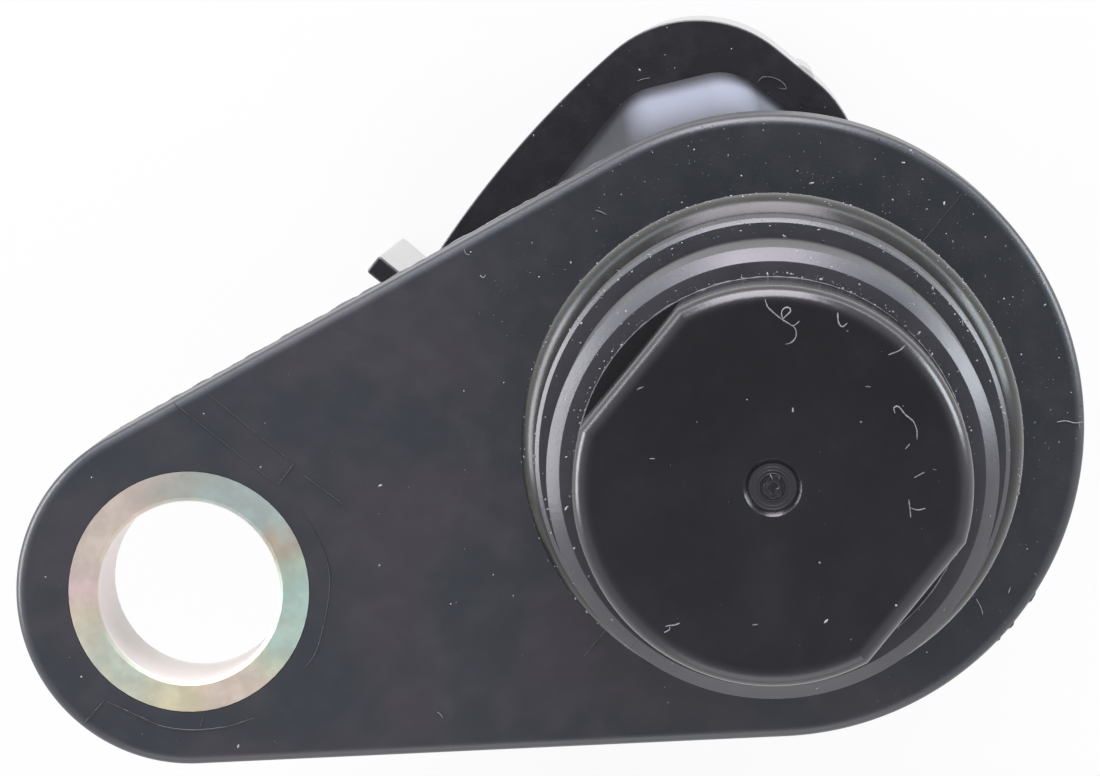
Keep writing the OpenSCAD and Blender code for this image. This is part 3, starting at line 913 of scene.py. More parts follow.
@dataclass
class Housing:
    """Moulded housing: flange, barrel, neck and plug socket in one shell; millimetres."""

    flange_t: float = 6.5
    flange_r: float = 11.35
    ear_r: float = 6.35
    bolt_distance: float = 22.1
    bolt_angle: float = 145.0
    flange_edge_r: float = 0.4
    bush_hole_r: float = 4.42
    barrel_r: float = 8.15
    barrel_front_r: float = 7.5
    groove_r: float = 6.5
    groove_low: float = 7.05
    groove_high: float = 9.95
    land_top: float = 13.85
    land_bevel: float = 0.15
    shoulder_r: float = 7.05
    shoulder_z: float = 22.3
    lead_in_len: float = 0.42
    capsule_hole_r: float = 6.502
    capsule_z: float = 12.0
    capsule_hole_end: float = 40.0
    bush_hole_ends: Point = (-10.0, 5.0)
    neck_root: tuple[float, float, float] = (12.4, 12.0, 2.2)
    neck_end: tuple[float, float, float] = (18.0, 8.6, 7.4)
    neck_cut: Point = (3.3, 2.5)
    neck_corner_r: float = 2.2
    socket_y: float = 7.4
    socket_l: float = 21.2
    socket_w: float = 12.7
    socket_corner_r: float = 4.85
    socket_bow_r: float = 39.0
    socket_wall: float = 1.3
    back_z: float = -16.0
    back_edge_r: float = 0.08
    socket_floor_z: float = -18.2
    floor_edge_r: float = 0.5
    rim_z: float = -33.0
    rim_edge_r: float = 0.25
    mouth_edge_r: float = 0.3
    key_x: float = -5.7
    key_t: float = 0.8
    key_tip_y: float = 15.25
    key_root: float = 1.0
    set_back: float = 0.05
    bead_w: float = 0.9
    bead_h: float = 0.15
    bead_y: float = 6.9
    bead_root: float = 0.8
    bead_sunk: float = 0.04
    bead_fade: Point = (1.2, 0.1)
    lock_w: float = 4.6
    lock_h: float = 1.2
    lock_root: float = 0.7
    lock_z: tuple[float, float, float] = (-31.0, -28.8, -27.6)
    pitch: float = 3.0
    slot_full: float = 1.54
    slot_narrow: float = 1.04
    slot_t: float = 0.68
    terminal_y: float = 2.82
    jog: Point = (-12.5, -8.5)
    mould_gap: float = 0.02
    sunk: float = 0.2
    edge_r: float = 0.12
    fine_edge_r: float = 0.05
    sharp: float = 32.0
    steps: int = 192

    def _circle(self, r: float, z: float) -> Ring:
        """Ring round the probe's axis."""
        return lifted(arc((0, 0), r, 0, 360, self.steps), z)

    def _flange_outline(self, inset: float) -> list[Point]:
        """Outline of the flange, drawn in by an inset.

        Args:
            inset: Distance from the full outline.

        Returns:
            The points, with the probe's circle first.
        """
        # An arc of one step adds the last point of the arc before it
        lean = math.degrees(math.asin((self.flange_r - self.ear_r)/self.bolt_distance))
        big = arc((0, 0), self.flange_r - inset, 90 - lean, 270 + lean, 140)
        big += arc((0, 0), self.flange_r - inset, 270 + lean, 280 + lean, 1)
        ear = (self.bolt_distance, 0)
        small = arc(ear, self.ear_r - inset, lean - 90, 90 - lean, 100)
        small += arc(ear, self.ear_r - inset, 90 - lean, 100 - lean, 1)
        turn = Matrix.Rotation(math.radians(self.bolt_angle), 2)
        return [tuple(turn @ Vector(p)) for p in big + small]

    def _socket_outline(self, inset: float) -> list[Point]:
        """Oval outline of the socket with bowed long sides, drawn in by an inset.

        Args:
            inset: Distance from the full outline.

        Returns:
            The points in order.
        """
        end_x = self.socket_l/2 - inset
        side_y = self.socket_w/2 - inset
        corner = self.socket_corner_r - inset
        bow = self.socket_bow_r - inset
        cx = end_x - corner
        cy = math.sqrt((bow - corner)**2 - cx**2) - (bow - side_y)
        meet = math.degrees(math.atan2(cy - (side_y - bow), cx))
        upper = arc((cx, cy), corner, 0, meet, 20) + arc((0, side_y - bow), bow, meet, 180 - meet, 40)
        upper += arc((-cx, cy), corner, 180 - meet, 180, 20)
        upper.append((-end_x, cy))
        lower = [(-x, -y) for x, y in upper]
        return [(x, y + self.socket_y) for x, y in upper + lower]

    def _neck_outline(self, size: tuple[float, float, float]) -> list[Point]:
        """Outline of the neck with softly rounded cut corners.

        Args:
            size: Its length along X, its width along Y and its middle on Y.

        Returns:
            The points in order.
        """
        long, wide, y = size
        cut_l, cut_w = self.neck_cut
        corners: list[Point] = []
        for sx, sy in ((1, 1), (-1, 1), (-1, -1), (1, -1)):
            on_side = (sx*(long/2 - cut_l), y + sy*wide/2)
            on_end = (sx*long/2, y + sy*(wide/2 - cut_w))
            corners += [on_end, on_side] if sx*sy > 0 else [on_side, on_end]
        return rounded([(c, self.neck_corner_r) for c in corners], 8, True)

    def _barrel_profile(self) -> list[Point]:
        """Half section of the barrel with its seal groove, land, flat ledge and bevelled lead-in.

        Returns:
            Pairs of radius and height from the flange to the shoulder.
        """
        soft = self.edge_r
        fine = self.fine_edge_r
        ledge_z = self.land_top + self.land_bevel
        corners: list[tuple[Point, float]] = [
            ((self.barrel_r, -self.flange_t/2), 0),
            ((self.barrel_r, self.groove_low), soft), ((self.groove_r, self.groove_low), soft),
            ((self.groove_r, self.groove_high), soft), ((self.barrel_r, self.groove_high), soft),
            ((self.barrel_r, self.land_top), fine/2), ((self.barrel_r - self.land_bevel, ledge_z), fine/2),
            ((self.barrel_front_r, ledge_z), 0),
            ((self.barrel_front_r, self.shoulder_z - self.lead_in_len), fine),
            ((self.shoulder_r, self.shoulder_z), fine), ((self.capsule_hole_r/2, self.shoulder_z), 0)]
        return rounded(corners, 5, False)

    def _block(self, name: str, low: Sequence[float], high: Sequence[float]) -> bpy.types.Object:
        """Box between two corners with rounded edges."""
        outline = [(low[0], low[1]), (high[0], low[1]), (high[0], high[1]), (low[0], high[1])]
        return loft(name, [lifted(outline, low[2]), lifted(outline, high[2])], self.edge_r)

    def _sheet(self, name: str, outline: Sequence[Point], x: float, width: float,
               bevel: float = 0.0) -> bpy.types.Object:
        """Solid of an outline in Y and Z, with its width along X about a middle."""
        rings = [[Vector((x + side*width/2, y, z)) for y, z in outline] for side in (-1, 1)]
        return loft(name, rings, bevel)

    def _bead(self) -> bpy.types.Object:
        """Low bead along the socket's end, which fades out just behind the back wall.

        Returns:
            The bead's shape.
        """
        end_x = self.socket_l/2
        low, high = self.bead_y - self.bead_w/2, self.bead_y + self.bead_w/2
        fade_low, fade_high = (self.back_z - depth for depth in self.bead_fade)
        rings = []
        for share, z in ((1.0, self.rim_z + self.set_back), (1.0, fade_low), (0.0, fade_high)):
            bulge = []
            for s in range(-8, 9):
                rise = share*(self.bead_h + self.bead_sunk)*math.sqrt(1 - (s/8)**2)
                bulge.append((end_x - self.bead_sunk + rise, self.bead_y + s/16*self.bead_w))
            rings.append(lifted([(end_x - self.bead_root, low), *bulge, (end_x - self.bead_root, high)], z))
        return loft("bead", rings)

    def _cavity(self) -> bpy.types.Object:
        """Room inside the socket, with a rounded floor and a soft mouth.

        Returns:
            The room's shape, which is cut out.
        """
        floor_r, mouth_r = self.floor_edge_r, self.mouth_edge_r
        turns = [math.pi/2*i/6 for i in range(7)]
        mouth = [(self.socket_wall - mouth_r*(1 - math.sin(t)), self.rim_z + mouth_r*(1 - math.cos(t)))
                 for t in turns]
        floor = [(self.socket_wall + floor_r*(1 - math.cos(t)),
                  self.socket_floor_z - floor_r*(1 - math.sin(t))) for t in turns]
        steps = [(mouth[0][0], self.rim_z - mouth_r)] + mouth + floor
        return loft("cavity", [lifted(self._socket_outline(inset), z) for inset, z in steps])

    def _slots(self) -> list[bpy.types.Object]:
        """Slots that the three terminals fill.

        Returns:
            Two shapes for each terminal, which are cut out.
        """
        half = self.slot_t/2
        foot, top = self.jog
        slope = math.atan2(self.socket_y - self.terminal_y, top - foot)
        shift = half*math.tan(slope/2)
        step_z = self.mould_gap - self.flange_t
        low_z = self.socket_floor_z - self.sunk
        path = [(self.socket_y + half, low_z), (self.socket_y + half, foot + shift),
                (self.terminal_y + half, top + shift), (self.terminal_y + half, step_z),
                (self.terminal_y - half, step_z), (self.terminal_y - half, top - shift),
                (self.socket_y - half, foot - shift), (self.socket_y - half, low_z)]
        tab_low, tab_high = step_z - self.sunk, self.capsule_z + self.sunk
        upper = [(self.terminal_y + half, tab_low), (self.terminal_y + half, tab_high),
                 (self.terminal_y - half, tab_high), (self.terminal_y - half, tab_low)]
        made = []
        for column in (-1, 0, 1):
            made.append(self._sheet(f"slot_{column}", path, column*self.pitch, self.slot_full))
            made.append(self._sheet(f"tab_slot_{column}", upper, column*self.pitch, self.slot_narrow))
        return made

    def build(self) -> bpy.types.Object:
        """Join all forms to one shell and cut what it holds.

        Returns:
            The housing in metres.
        """
        edge = round_ends(-self.flange_t, 0.0, self.flange_edge_r, self.flange_edge_r, 10)
        shell = loft("housing_shell", [lifted(self._flange_outline(inset), z) for inset, z in edge])
        barrel = loft("barrel", [self._circle(r, z) for r, z in self._barrel_profile()])
        root, end = self._neck_outline(self.neck_root), self._neck_outline(self.neck_end)
        neck = loft("neck", [
            lifted(root, self.sunk - self.flange_t), lifted(root, -self.sunk - self.flange_t),
            lifted(end, self.back_z), lifted(end, self.back_z - self.sunk)])
        walls = round_ends(self.rim_z, self.back_z, self.rim_edge_r, self.back_edge_r)
        socket = loft("socket", [lifted(self._socket_outline(inset), z) for inset, z in walls])
        wall_y = self.socket_y + self.socket_w/2
        key = self._block("key", (self.key_x - self.key_t/2, wall_y - self.key_root, self.rim_z),
                          (self.key_x + self.key_t/2, self.key_tip_y, self.back_z - self.set_back))
        side_y = self.socket_y - self.socket_w/2
        root_y, tip_y = side_y + self.lock_root, side_y - self.lock_h
        foot_z, slope_z, top_z = self.lock_z
        slope = [(root_y, foot_z), (side_y, foot_z), (tip_y, slope_z), (tip_y, top_z), (root_y, top_z)]
        ramp = self._sheet("lock_ramp", slope, 0.0, self.lock_w, self.edge_r)
        bore_ends = (self.capsule_z, self.capsule_hole_end)
        bore = loft("capsule_bore", [self._circle(self.capsule_hole_r, z) for z in bore_ends])
        turn = math.radians(self.bolt_angle)
        bolt = (self.bolt_distance*math.cos(turn), self.bolt_distance*math.sin(turn))
        hole = arc(bolt, self.bush_hole_r, 0, 360, 128)
        bush_hole = loft("bush_hole", [lifted(hole, z) for z in self.bush_hole_ends])
        combine(shell, [(tool, Join.ADD) for tool in (barrel, neck, socket, key, self._bead(), ramp)])
        combine(shell, [(tool, Join.CUT) for tool in (bore, bush_hole, self._cavity(), *self._slots())])
        smooth(shell, self.sharp)
        return shell

    def dress(self, shell: bpy.types.Object, finish: bpy.types.Material) -> None:
        """Give the shell its finish and put it in the place of the plain solid.

        Args:
            shell: The built housing.
            finish: Its finish.
        """
        shell.data.materials.clear()
        shell.data.materials.append(finish)
        ride_as(shell, "housing_plastic", "housing")


class Growth:
    """Geometry Nodes trees: threads along paths and grains of dust over faces."""

    SEED_SHIFTS = (11.0, 23.0, 37.0, 41.0)

    def __init__(self) -> None:
        """Build each tree once."""
        self.thread = self._thread()
        self.grains = self._grains()

    @staticmethod
    def _start(name: str, inputs: Sequence[tuple[str, str]]) -> tuple[Tree, Any, Any]:
        """Make an empty tree.

        Args:
            name: Name of the tree.
            inputs: Names and kinds of its inputs.

        Returns:
            The tree, its input node and its output node.
        """
        group = bpy.data.node_groups.new(name, "GeometryNodeTree")
        for key, kind in (("Geometry", "Geometry"), *inputs):
            group.interface.new_socket(name=key, in_out="INPUT", socket_type=f"NodeSocket{kind}")
        group.interface.new_socket(name="Geometry", in_out="OUTPUT", socket_type="NodeSocketGeometry")
        tree = Tree(group)
        return tree, tree.node("NodeGroupInput"), tree.node("NodeGroupOutput")

    @staticmethod
    def _end(tree: Tree, shape: bpy.types.NodeSocket, given: Any, made: Any) -> None:
        """Make the shape real, give it its finish and put it out.

        Args:
            tree: Tree that is worked on.
            shape: The shape's socket.
            given: The tree's input node.
            made: The tree's output node.
        """
        real = tree.node("GeometryNodeRealizeInstances", {"Geometry": shape})
        dressed = tree.node("GeometryNodeSetMaterial", {"Geometry": real.outputs[0],
                                                        "Material": given.outputs["Finish"]})
        tree.tree.links.new(dressed.outputs[0], made.inputs[0])

    @staticmethod
    def _draw(tree: Tree, seed: Any, **more: Any) -> bpy.types.NodeSocket:
        """Add a random number from 0 to 1 for each element, drawn from a seed."""
        inputs = {2: 0.0, 3: 1.0, "Seed": seed, **more}
        return tree.node("FunctionNodeRandomValue", inputs, data_type="FLOAT").outputs[1]

    def _thread(self) -> bpy.types.NodeTree:
        """Make threads of uneven thickness that taper at their ends.

        Returns:
            The new tree.
        """
        tree, given, made = self._start("thread_along_path", (
            ("Radius", "Float"), ("Uneven", "Float"), ("Knots", "Float"), ("Step", "Float"), ("Seed", "Int"),
            ("Finish", "Material")))
        path = tree.node("GeometryNodeMeshToCurve", {0: given.outputs["Geometry"]}).outputs[0]
        bent = tree.node("GeometryNodeCurveSplineType", {0: path}, spline_type="CATMULL_ROM").outputs[0]
        spacing = {0: bent, "Length": given.outputs["Step"]}
        even = tree.node("GeometryNodeResampleCurve", spacing, mode="LENGTH").outputs[0]
        index = tree.node("GeometryNodeInputIndex").outputs[0]
        chance = self._draw(tree, given.outputs["Seed"], ID=index)
        stored = {"Geometry": even, "Name": "tone", "Value": chance}
        toned = tree.node("GeometryNodeStoreNamedAttribute", stored, data_type="FLOAT", domain="CURVE")
        place = tree.node("GeometryNodeInputPosition").outputs[0]
        knots = tree.span(tree.noise(place, given.outputs["Knots"], 2.0), 0.3, 0.7, -1.0, 1.0)
        swell = tree.math("MULTIPLY_ADD", knots, given.outputs["Uneven"], 1.0)
        along = tree.node("GeometryNodeSplineParameter").outputs["Factor"]
        ends = tree.math("MINIMUM", along, tree.math("SUBTRACT", 1.0, along))
        taper = tree.math("MINIMUM", tree.math("MULTIPLY_ADD", ends, 7.0, 0.35), 1.0)
        radius = tree.math("MULTIPLY", tree.math("MULTIPLY", swell, taper), given.outputs["Radius"])
        section = tree.node("GeometryNodeCurvePrimitiveCircle", {"Resolution": 6, "Radius": 1.0}).outputs[0]
        skin = tree.node("GeometryNodeCurveToMesh", {"Curve": toned.outputs[0], "Profile Curve": section,
                                                     "Scale": radius, "Fill Caps": True})
        self._end(tree, skin.outputs[0], given, made)
        return tree.tree

    def _grains(self) -> bpy.types.NodeTree:
        """Make flat grains on faces that look up, in a band of heights and radii, denser on one side.

        Returns:
            The new tree.
        """
        tree, given, made = self._start("grains_on_faces", (
            ("Density", "Float"), ("Size", "Float"), ("Seed", "Int"), ("Low", "Float"), ("High", "Float"),
            ("Inner", "Float"), ("Outer", "Float"), ("Lean", "Float"), ("Side", "Vector"),
            ("Finish", "Material")))
        facing = tree.node("ShaderNodeSeparateXYZ", {0: tree.node("GeometryNodeInputNormal").outputs[0]})
        upward = tree.math("GREATER_THAN", facing.outputs["Z"], given.outputs["Lean"])
        spread = tree.node("GeometryNodeDistributePointsOnFaces", {
            "Mesh": given.outputs["Geometry"], "Selection": upward, "Density": given.outputs["Density"],
            "Seed": given.outputs["Seed"]}, distribute_method="RANDOM")
        place = tree.node("GeometryNodeInputPosition").outputs[0]
        split = tree.node("ShaderNodeSeparateXYZ", {0: place})
        flat = tree.node("ShaderNodeCombineXYZ", {0: split.outputs["X"], 1: split.outputs["Y"]}).outputs[0]
        reach = tree.vector("LENGTH", flat).outputs["Value"]
        spoke = tree.vector("NORMALIZE", flat).outputs[0]
        lean = tree.vector("DOT_PRODUCT", spoke, given.outputs["Side"]).outputs["Value"]
        share = tree.math("MULTIPLY_ADD", lean, 0.5, 0.5)
        index = tree.node("GeometryNodeInputIndex").outputs[0]
        chance = self._draw(tree, given.outputs["Seed"], ID=index)
        missing = tree.math("GREATER_THAN", chance, share)
        for value, low, high in ((split.outputs["Z"], "Low", "High"), (reach, "Inner", "Outer")):
            below = tree.math("LESS_THAN", value, given.outputs[low])
            above = tree.math("GREATER_THAN", value, given.outputs[high])
            missing = tree.math("MAXIMUM", missing, tree.math("MAXIMUM", below, above))
        kept = tree.node("GeometryNodeDeleteGeometry", {"Geometry": spread.outputs["Points"],
                                                        "Selection": missing}, domain="POINT").outputs[0]
        seeds = [tree.math("ADD", given.outputs["Seed"], shift) for shift in self.SEED_SHIFTS]
        growing, stretching, spinning, toning = [self._draw(tree, seed) for seed in seeds]
        grown = tree.math("MULTIPLY_ADD", tree.math("POWER", growing, 3.0), 1.7, 0.4)
        long = tree.math("MULTIPLY_ADD", tree.math("POWER", stretching, 4.0), 2.0, 1.0)
        size = tree.math("MULTIPLY", grown, given.outputs["Size"])
        scale = tree.node("ShaderNodeCombineXYZ", {
            0: tree.math("MULTIPLY", size, long), 1: size, 2: tree.math("MULTIPLY", size, 0.55)}).outputs[0]
        spin = tree.node("ShaderNodeCombineXYZ", {2: tree.math("MULTIPLY", spinning, math.tau)})
        turned = tree.node("FunctionNodeEulerToRotation", {0: spin.outputs[0]}).outputs[0]
        grain = tree.node("GeometryNodeMeshIcoSphere", {"Radius": 1.0, "Subdivisions": 1}).outputs[0]
        laid = tree.node("GeometryNodeInstanceOnPoints", {
            "Points": kept, "Instance": grain, "Rotation": turned, "Scale": scale}).outputs[0]
        stored = {"Geometry": laid, "Name": "tone", "Value": toning}
        toned = tree.node("GeometryNodeStoreNamedAttribute", stored, data_type="FLOAT", domain="INSTANCE")
        self._end(tree, toned.outputs[0], given, made)
        return tree.tree

    def grow(self, name: str, source: bpy.types.Mesh, tree: bpy.types.NodeTree,
             values: dict[str, Any]) -> bpy.types.Object:
        """Run a tree on a mesh and keep what it makes.

        Args:
            name: Name of the new piece.
            source: Mesh that the tree starts from; it is used up.
            tree: One of the trees of this class.
            values: Inputs by name.

        Returns:
            The new piece as a plain mesh.
        """
        piece = new_piece(name, source)
        step = piece.modifiers.new(name, "NODES")
        step.node_group = tree
        for item in tree.interface.items_tree:
            if item.in_out == "INPUT" and item.name in values:
                step[item.identifier] = values[item.name]
        freeze(piece)
        piece.data.shade_smooth()
        return piece


def path_mesh(name: str, paths: Sequence[Sequence[Vector]]) -> bpy.types.Mesh:
    """Make a mesh of bare lines, in metres.

    Args:
        name: Name of the mesh.
        paths: Points of each line in millimetres.

    Returns:
        The new mesh.
    """
    points: list[Vector] = []
    edges: list[tuple[int, int]] = []
    for path in paths:
        first = len(points)
        points += [p*MM for p in path]
        edges += [(i, i + 1) for i in range(first, len(points) - 1)]
    mesh = bpy.data.meshes.new(name)
    mesh.from_pydata(points, edges, [])
    return mesh


class Carrier(Enum):
    """Nodes that dust lies on."""

    HOUSING = "housing"
    NOSE = "capsule"
    SEAL = "o_ring"


@dataclass(frozen=True)
class DustZone:
    """A band of heights and radii where dust lies; millimetres, and grains on a square millimetre."""

    name: str
    density: float
    size: float
    seed: int
    height: Point
    reach: Point
    side: Point = (0.0, 0.0)
    lean: float = 0.6
    carrier: Carrier = Carrier.HOUSING
    faint: bool = False


@dataclass
class Dust:
    """Pale grains that lie on the sensor's faces."""

    growth: Growth
    zones: Sequence[DustZone] = (
        DustZone("flange_dust", 0.55, 0.021, 1, (-0.2, 0.1), (8.4, 40.0), (0.35, 0.0)),
        DustZone("collar_dust", 1.6, 0.021, 2, (-0.2, 0.1), (8.4, 11.3), (1.0, 0.1)),
        DustZone("land_dust", 26.0, 0.022, 3, (13.7, 14.1), (7.85, 8.2), (0.4, 0.6), 0.3),
        DustZone("ledge_dust", 6.0, 0.022, 4, (13.9, 14.1), (7.5, 8.0), (0.4, 0.6)),
        DustZone("shoulder_dust", 5.0, 0.022, 6, (21.8, 22.4), (6.5, 7.4), (0.35, 0.65), 0.3),
        DustZone("corner_dust", 44.0, 0.022, 7, (22.2, 22.4), (6.4, 6.72), (0.4, 0.65), 0.3),
        DustZone("back_wall_dust", 1.0, 0.022, 8, (-16.1, -15.9), (0.0, 40.0), (0.4, 0.4)),
        DustZone("nose_dust", 0.35, 0.022, 9, (27.0, 27.9), (1.2, 7.0), carrier=Carrier.NOSE),
        DustZone("seal_dust", 14.0, 0.018, 10, (7.5, 9.2), (8.62, 9.0), (0.7, 0.5), -0.3, Carrier.SEAL),
        DustZone("fine_dust", 9.0, 0.015, 11, (-0.2, 0.1), (8.4, 11.4), (0.95, 0.1), faint=True),
    )

    def _lay(self, carrier: bpy.types.Mesh, zone: DustZone, finish: bpy.types.Material) -> bpy.types.Object:
        """Lay the grains of one zone on a carrier's faces.

        Args:
            carrier: Mesh that carries the dust; it is only read.
            zone: Where the dust lies and how much of it.
            finish: Finish of the grains.

        Returns:
            The new piece.
        """
        low, high = zone.height
        inner, outer = zone.reach
        piece = self.growth.grow(zone.name, carrier.copy(), self.growth.grains, {
            "Density": zone.density/MM**2, "Size": zone.size*MM, "Seed": zone.seed, "Low": low*MM,
            "High": high*MM, "Inner": inner*MM, "Outer": outer*MM, "Lean": zone.lean,
            "Side": (*zone.side, 0.0), "Finish": finish})
        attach(piece, BODY)
        return piece

    def build(self, shell: bpy.types.Mesh, clear: bpy.types.Material,
              faint: bpy.types.Material) -> list[bpy.types.Object]:
        """Lay the dust of all zones.

        Args:
            shell: Mesh of the built housing.
            clear: Finish of grains that stand out.
            faint: Finish of grains that hardly do.

        Returns:
            The new pieces.
        """
        made = []
        for zone in self.zones:
            built = zone.carrier is Carrier.HOUSING
            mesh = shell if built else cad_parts[zone.carrier.value].data
            made.append(self._lay(mesh, zone, faint if zone.faint else clear))
        return made


@dataclass
class Fibres:
    """Lint on the sensor, each fibre by its bends in the photograph and the surface that it lies on."""

    growth: Growth
    camera: PhotoCamera
    radius: float = 0.019
    uneven: float = 0.25
    knots: float = 6000.0
    step: float = 0.06
    seed: int = 5
    strands: Sequence[tuple[Ground, Sequence[Point]]] = (
        (Ground.TIP, ((765, 299), (767.6, 306.7), (773.4, 312.5), (780.3, 318.2), (789.4, 324),
                      (795.2, 328.6), (795.9, 336.6), (791.7, 342.3), (785.5, 344.2))),
        (Ground.TIP, ((783, 319.4), (781.4, 312.5), (784.8, 307.9), (789.4, 307.9), (790.6, 311.3),
                      (787.1, 314.8), (783, 318.7))),
        (Ground.TIP, ((790, 324.5), (794, 325.6), (799.8, 321))),
        (Ground.TIP, ((837.7, 312.5), (838.3, 321.7), (842.2, 326.9), (847.5, 322.8))),
        (Ground.TIP, ((888.2, 355), (899.7, 350.4), (904.9, 345.3))),
        (Ground.TIP, ((895.1, 413.5), (893.9, 408), (898.5, 406.6), (905.4, 414.7), (913.4, 421.6),
                      (916.9, 430.7), (916.9, 439.5))),
        (Ground.TIP, ((905.4, 449.1), (910, 443.8))),
        (Ground.TIP, ((914.1, 477.8), (924.9, 472.1))),
        (Ground.TIP, ((933, 469.3), (936.4, 470.2))),
        (Ground.TIP, ((908.8, 499.6), (910, 508.8), (910.7, 517.5))),
        (Ground.TIP, ((911.1, 508.3), (918, 510), (926, 508.3))),
        (Ground.TIP, ((636.7, 389.9), (643.6, 386.6))),
        (Ground.TIP, ((649.4, 458.7), (655.1, 458.7))),
        (Ground.TIP, ((865.2, 386.4), (871, 387.1))),
        (Ground.TIP, ((665, 626.7), (670, 625.5), (675, 625), (680, 623))),
        (Ground.TIP, ((670, 626.5), (669, 630), (664, 632.5))),
        (Ground.TIP, ((752, 625), (758, 624.5))),
        (Ground.TIP, ((769.5, 474), (771.5, 476.5), (772.5, 479.5))),
        (Ground.FOOT, ((658, 330), (660, 327), (662, 325))),
        (Ground.SHOULDER, ((712, 286.5), (715, 284), (718, 286.5), (715.5, 287.5))),
        (Ground.SHOULDER, ((700, 291), (704, 290), (707, 288))),
        (Ground.LEDGE, ((617, 270), (621, 273), (618, 275), (623, 276))),
        (Ground.LEDGE, ((598, 291), (602, 294), (599, 296), (604, 295))),
        (Ground.LEDGE, ((1008, 419), (1007, 425), (1006, 431))),
        (Ground.LEDGE, ((992, 540), (988.5, 542), (985, 545))),
        (Ground.LEDGE, ((961.9, 559.9), (957.9, 560.9), (955.8, 564.5), (956.6, 569))),
        (Ground.LEDGE, ((962, 320), (963, 326))),
        (Ground.FLANGE, ((1057, 422), (1066, 421), (1075, 423), (1083, 422))),
        (Ground.FLANGE, ((1079, 423), (1080, 429))),
        (Ground.FLANGE, ((976.2, 598.7), (980.8, 607.3), (982.9, 615))),
        (Ground.FLANGE, ((1034.4, 572.7), (1036.4, 576.2))),
        (Ground.FLANGE, ((1010.4, 587), (1008.2, 593.6))),
        (Ground.FLANGE, ((595, 210), (601, 212), (607, 215))),
        (Ground.FLANGE, ((437, 712), (440, 714), (443, 718))),
        (Ground.FLANGE, ((464, 249), (466, 254), (470, 255))),
        (Ground.FLANGE, ((480, 275), (483, 278), (486, 275))),
        (Ground.BACK_WALL, ((757.5, 82.5), (762.5, 77.5), (772.5, 77.5), (782.5, 82.5), (786, 89),
                            (777.5, 88))),
        (Ground.BACK_WALL, ((637.5, 81), (644, 79), (650, 78))),
    )

    def _lay(self, name: str, far: bool, finish: bpy.types.Material) -> bpy.types.Object:
        """Lay the fibres of the back wall, or all the others, as one piece.

        Args:
            name: Name of the piece.
            far: Whether the back wall's fibres are laid.
            finish: Finish of the fibres.

        Returns:
            The new piece.
        """
        paths = []
        for ground, bends in self.strands:
            if (ground is Ground.BACK_WALL) == far:
                height = ground.value + self.radius
                paths.append([self.camera.on_level(pixel, height) for pixel in bends])
        piece = self.growth.grow(name, path_mesh(name, paths), self.growth.thread, {
            "Radius": self.radius*MM, "Uneven": self.uneven, "Knots": self.knots, "Step": self.step*MM,
            "Seed": self.seed, "Finish": finish})
        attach(piece, BODY)
        return piece

    def build(self, near: bpy.types.Material, far: bpy.types.Material) -> list[bpy.types.Object]:
        """Make the fibres on housing and nose, and the fainter ones on the socket's back wall, darker as a
        painted shade.
        """
        return [self._lay("lint_fibres", False, near), self._lay("back_wall_fibres", True, far)]


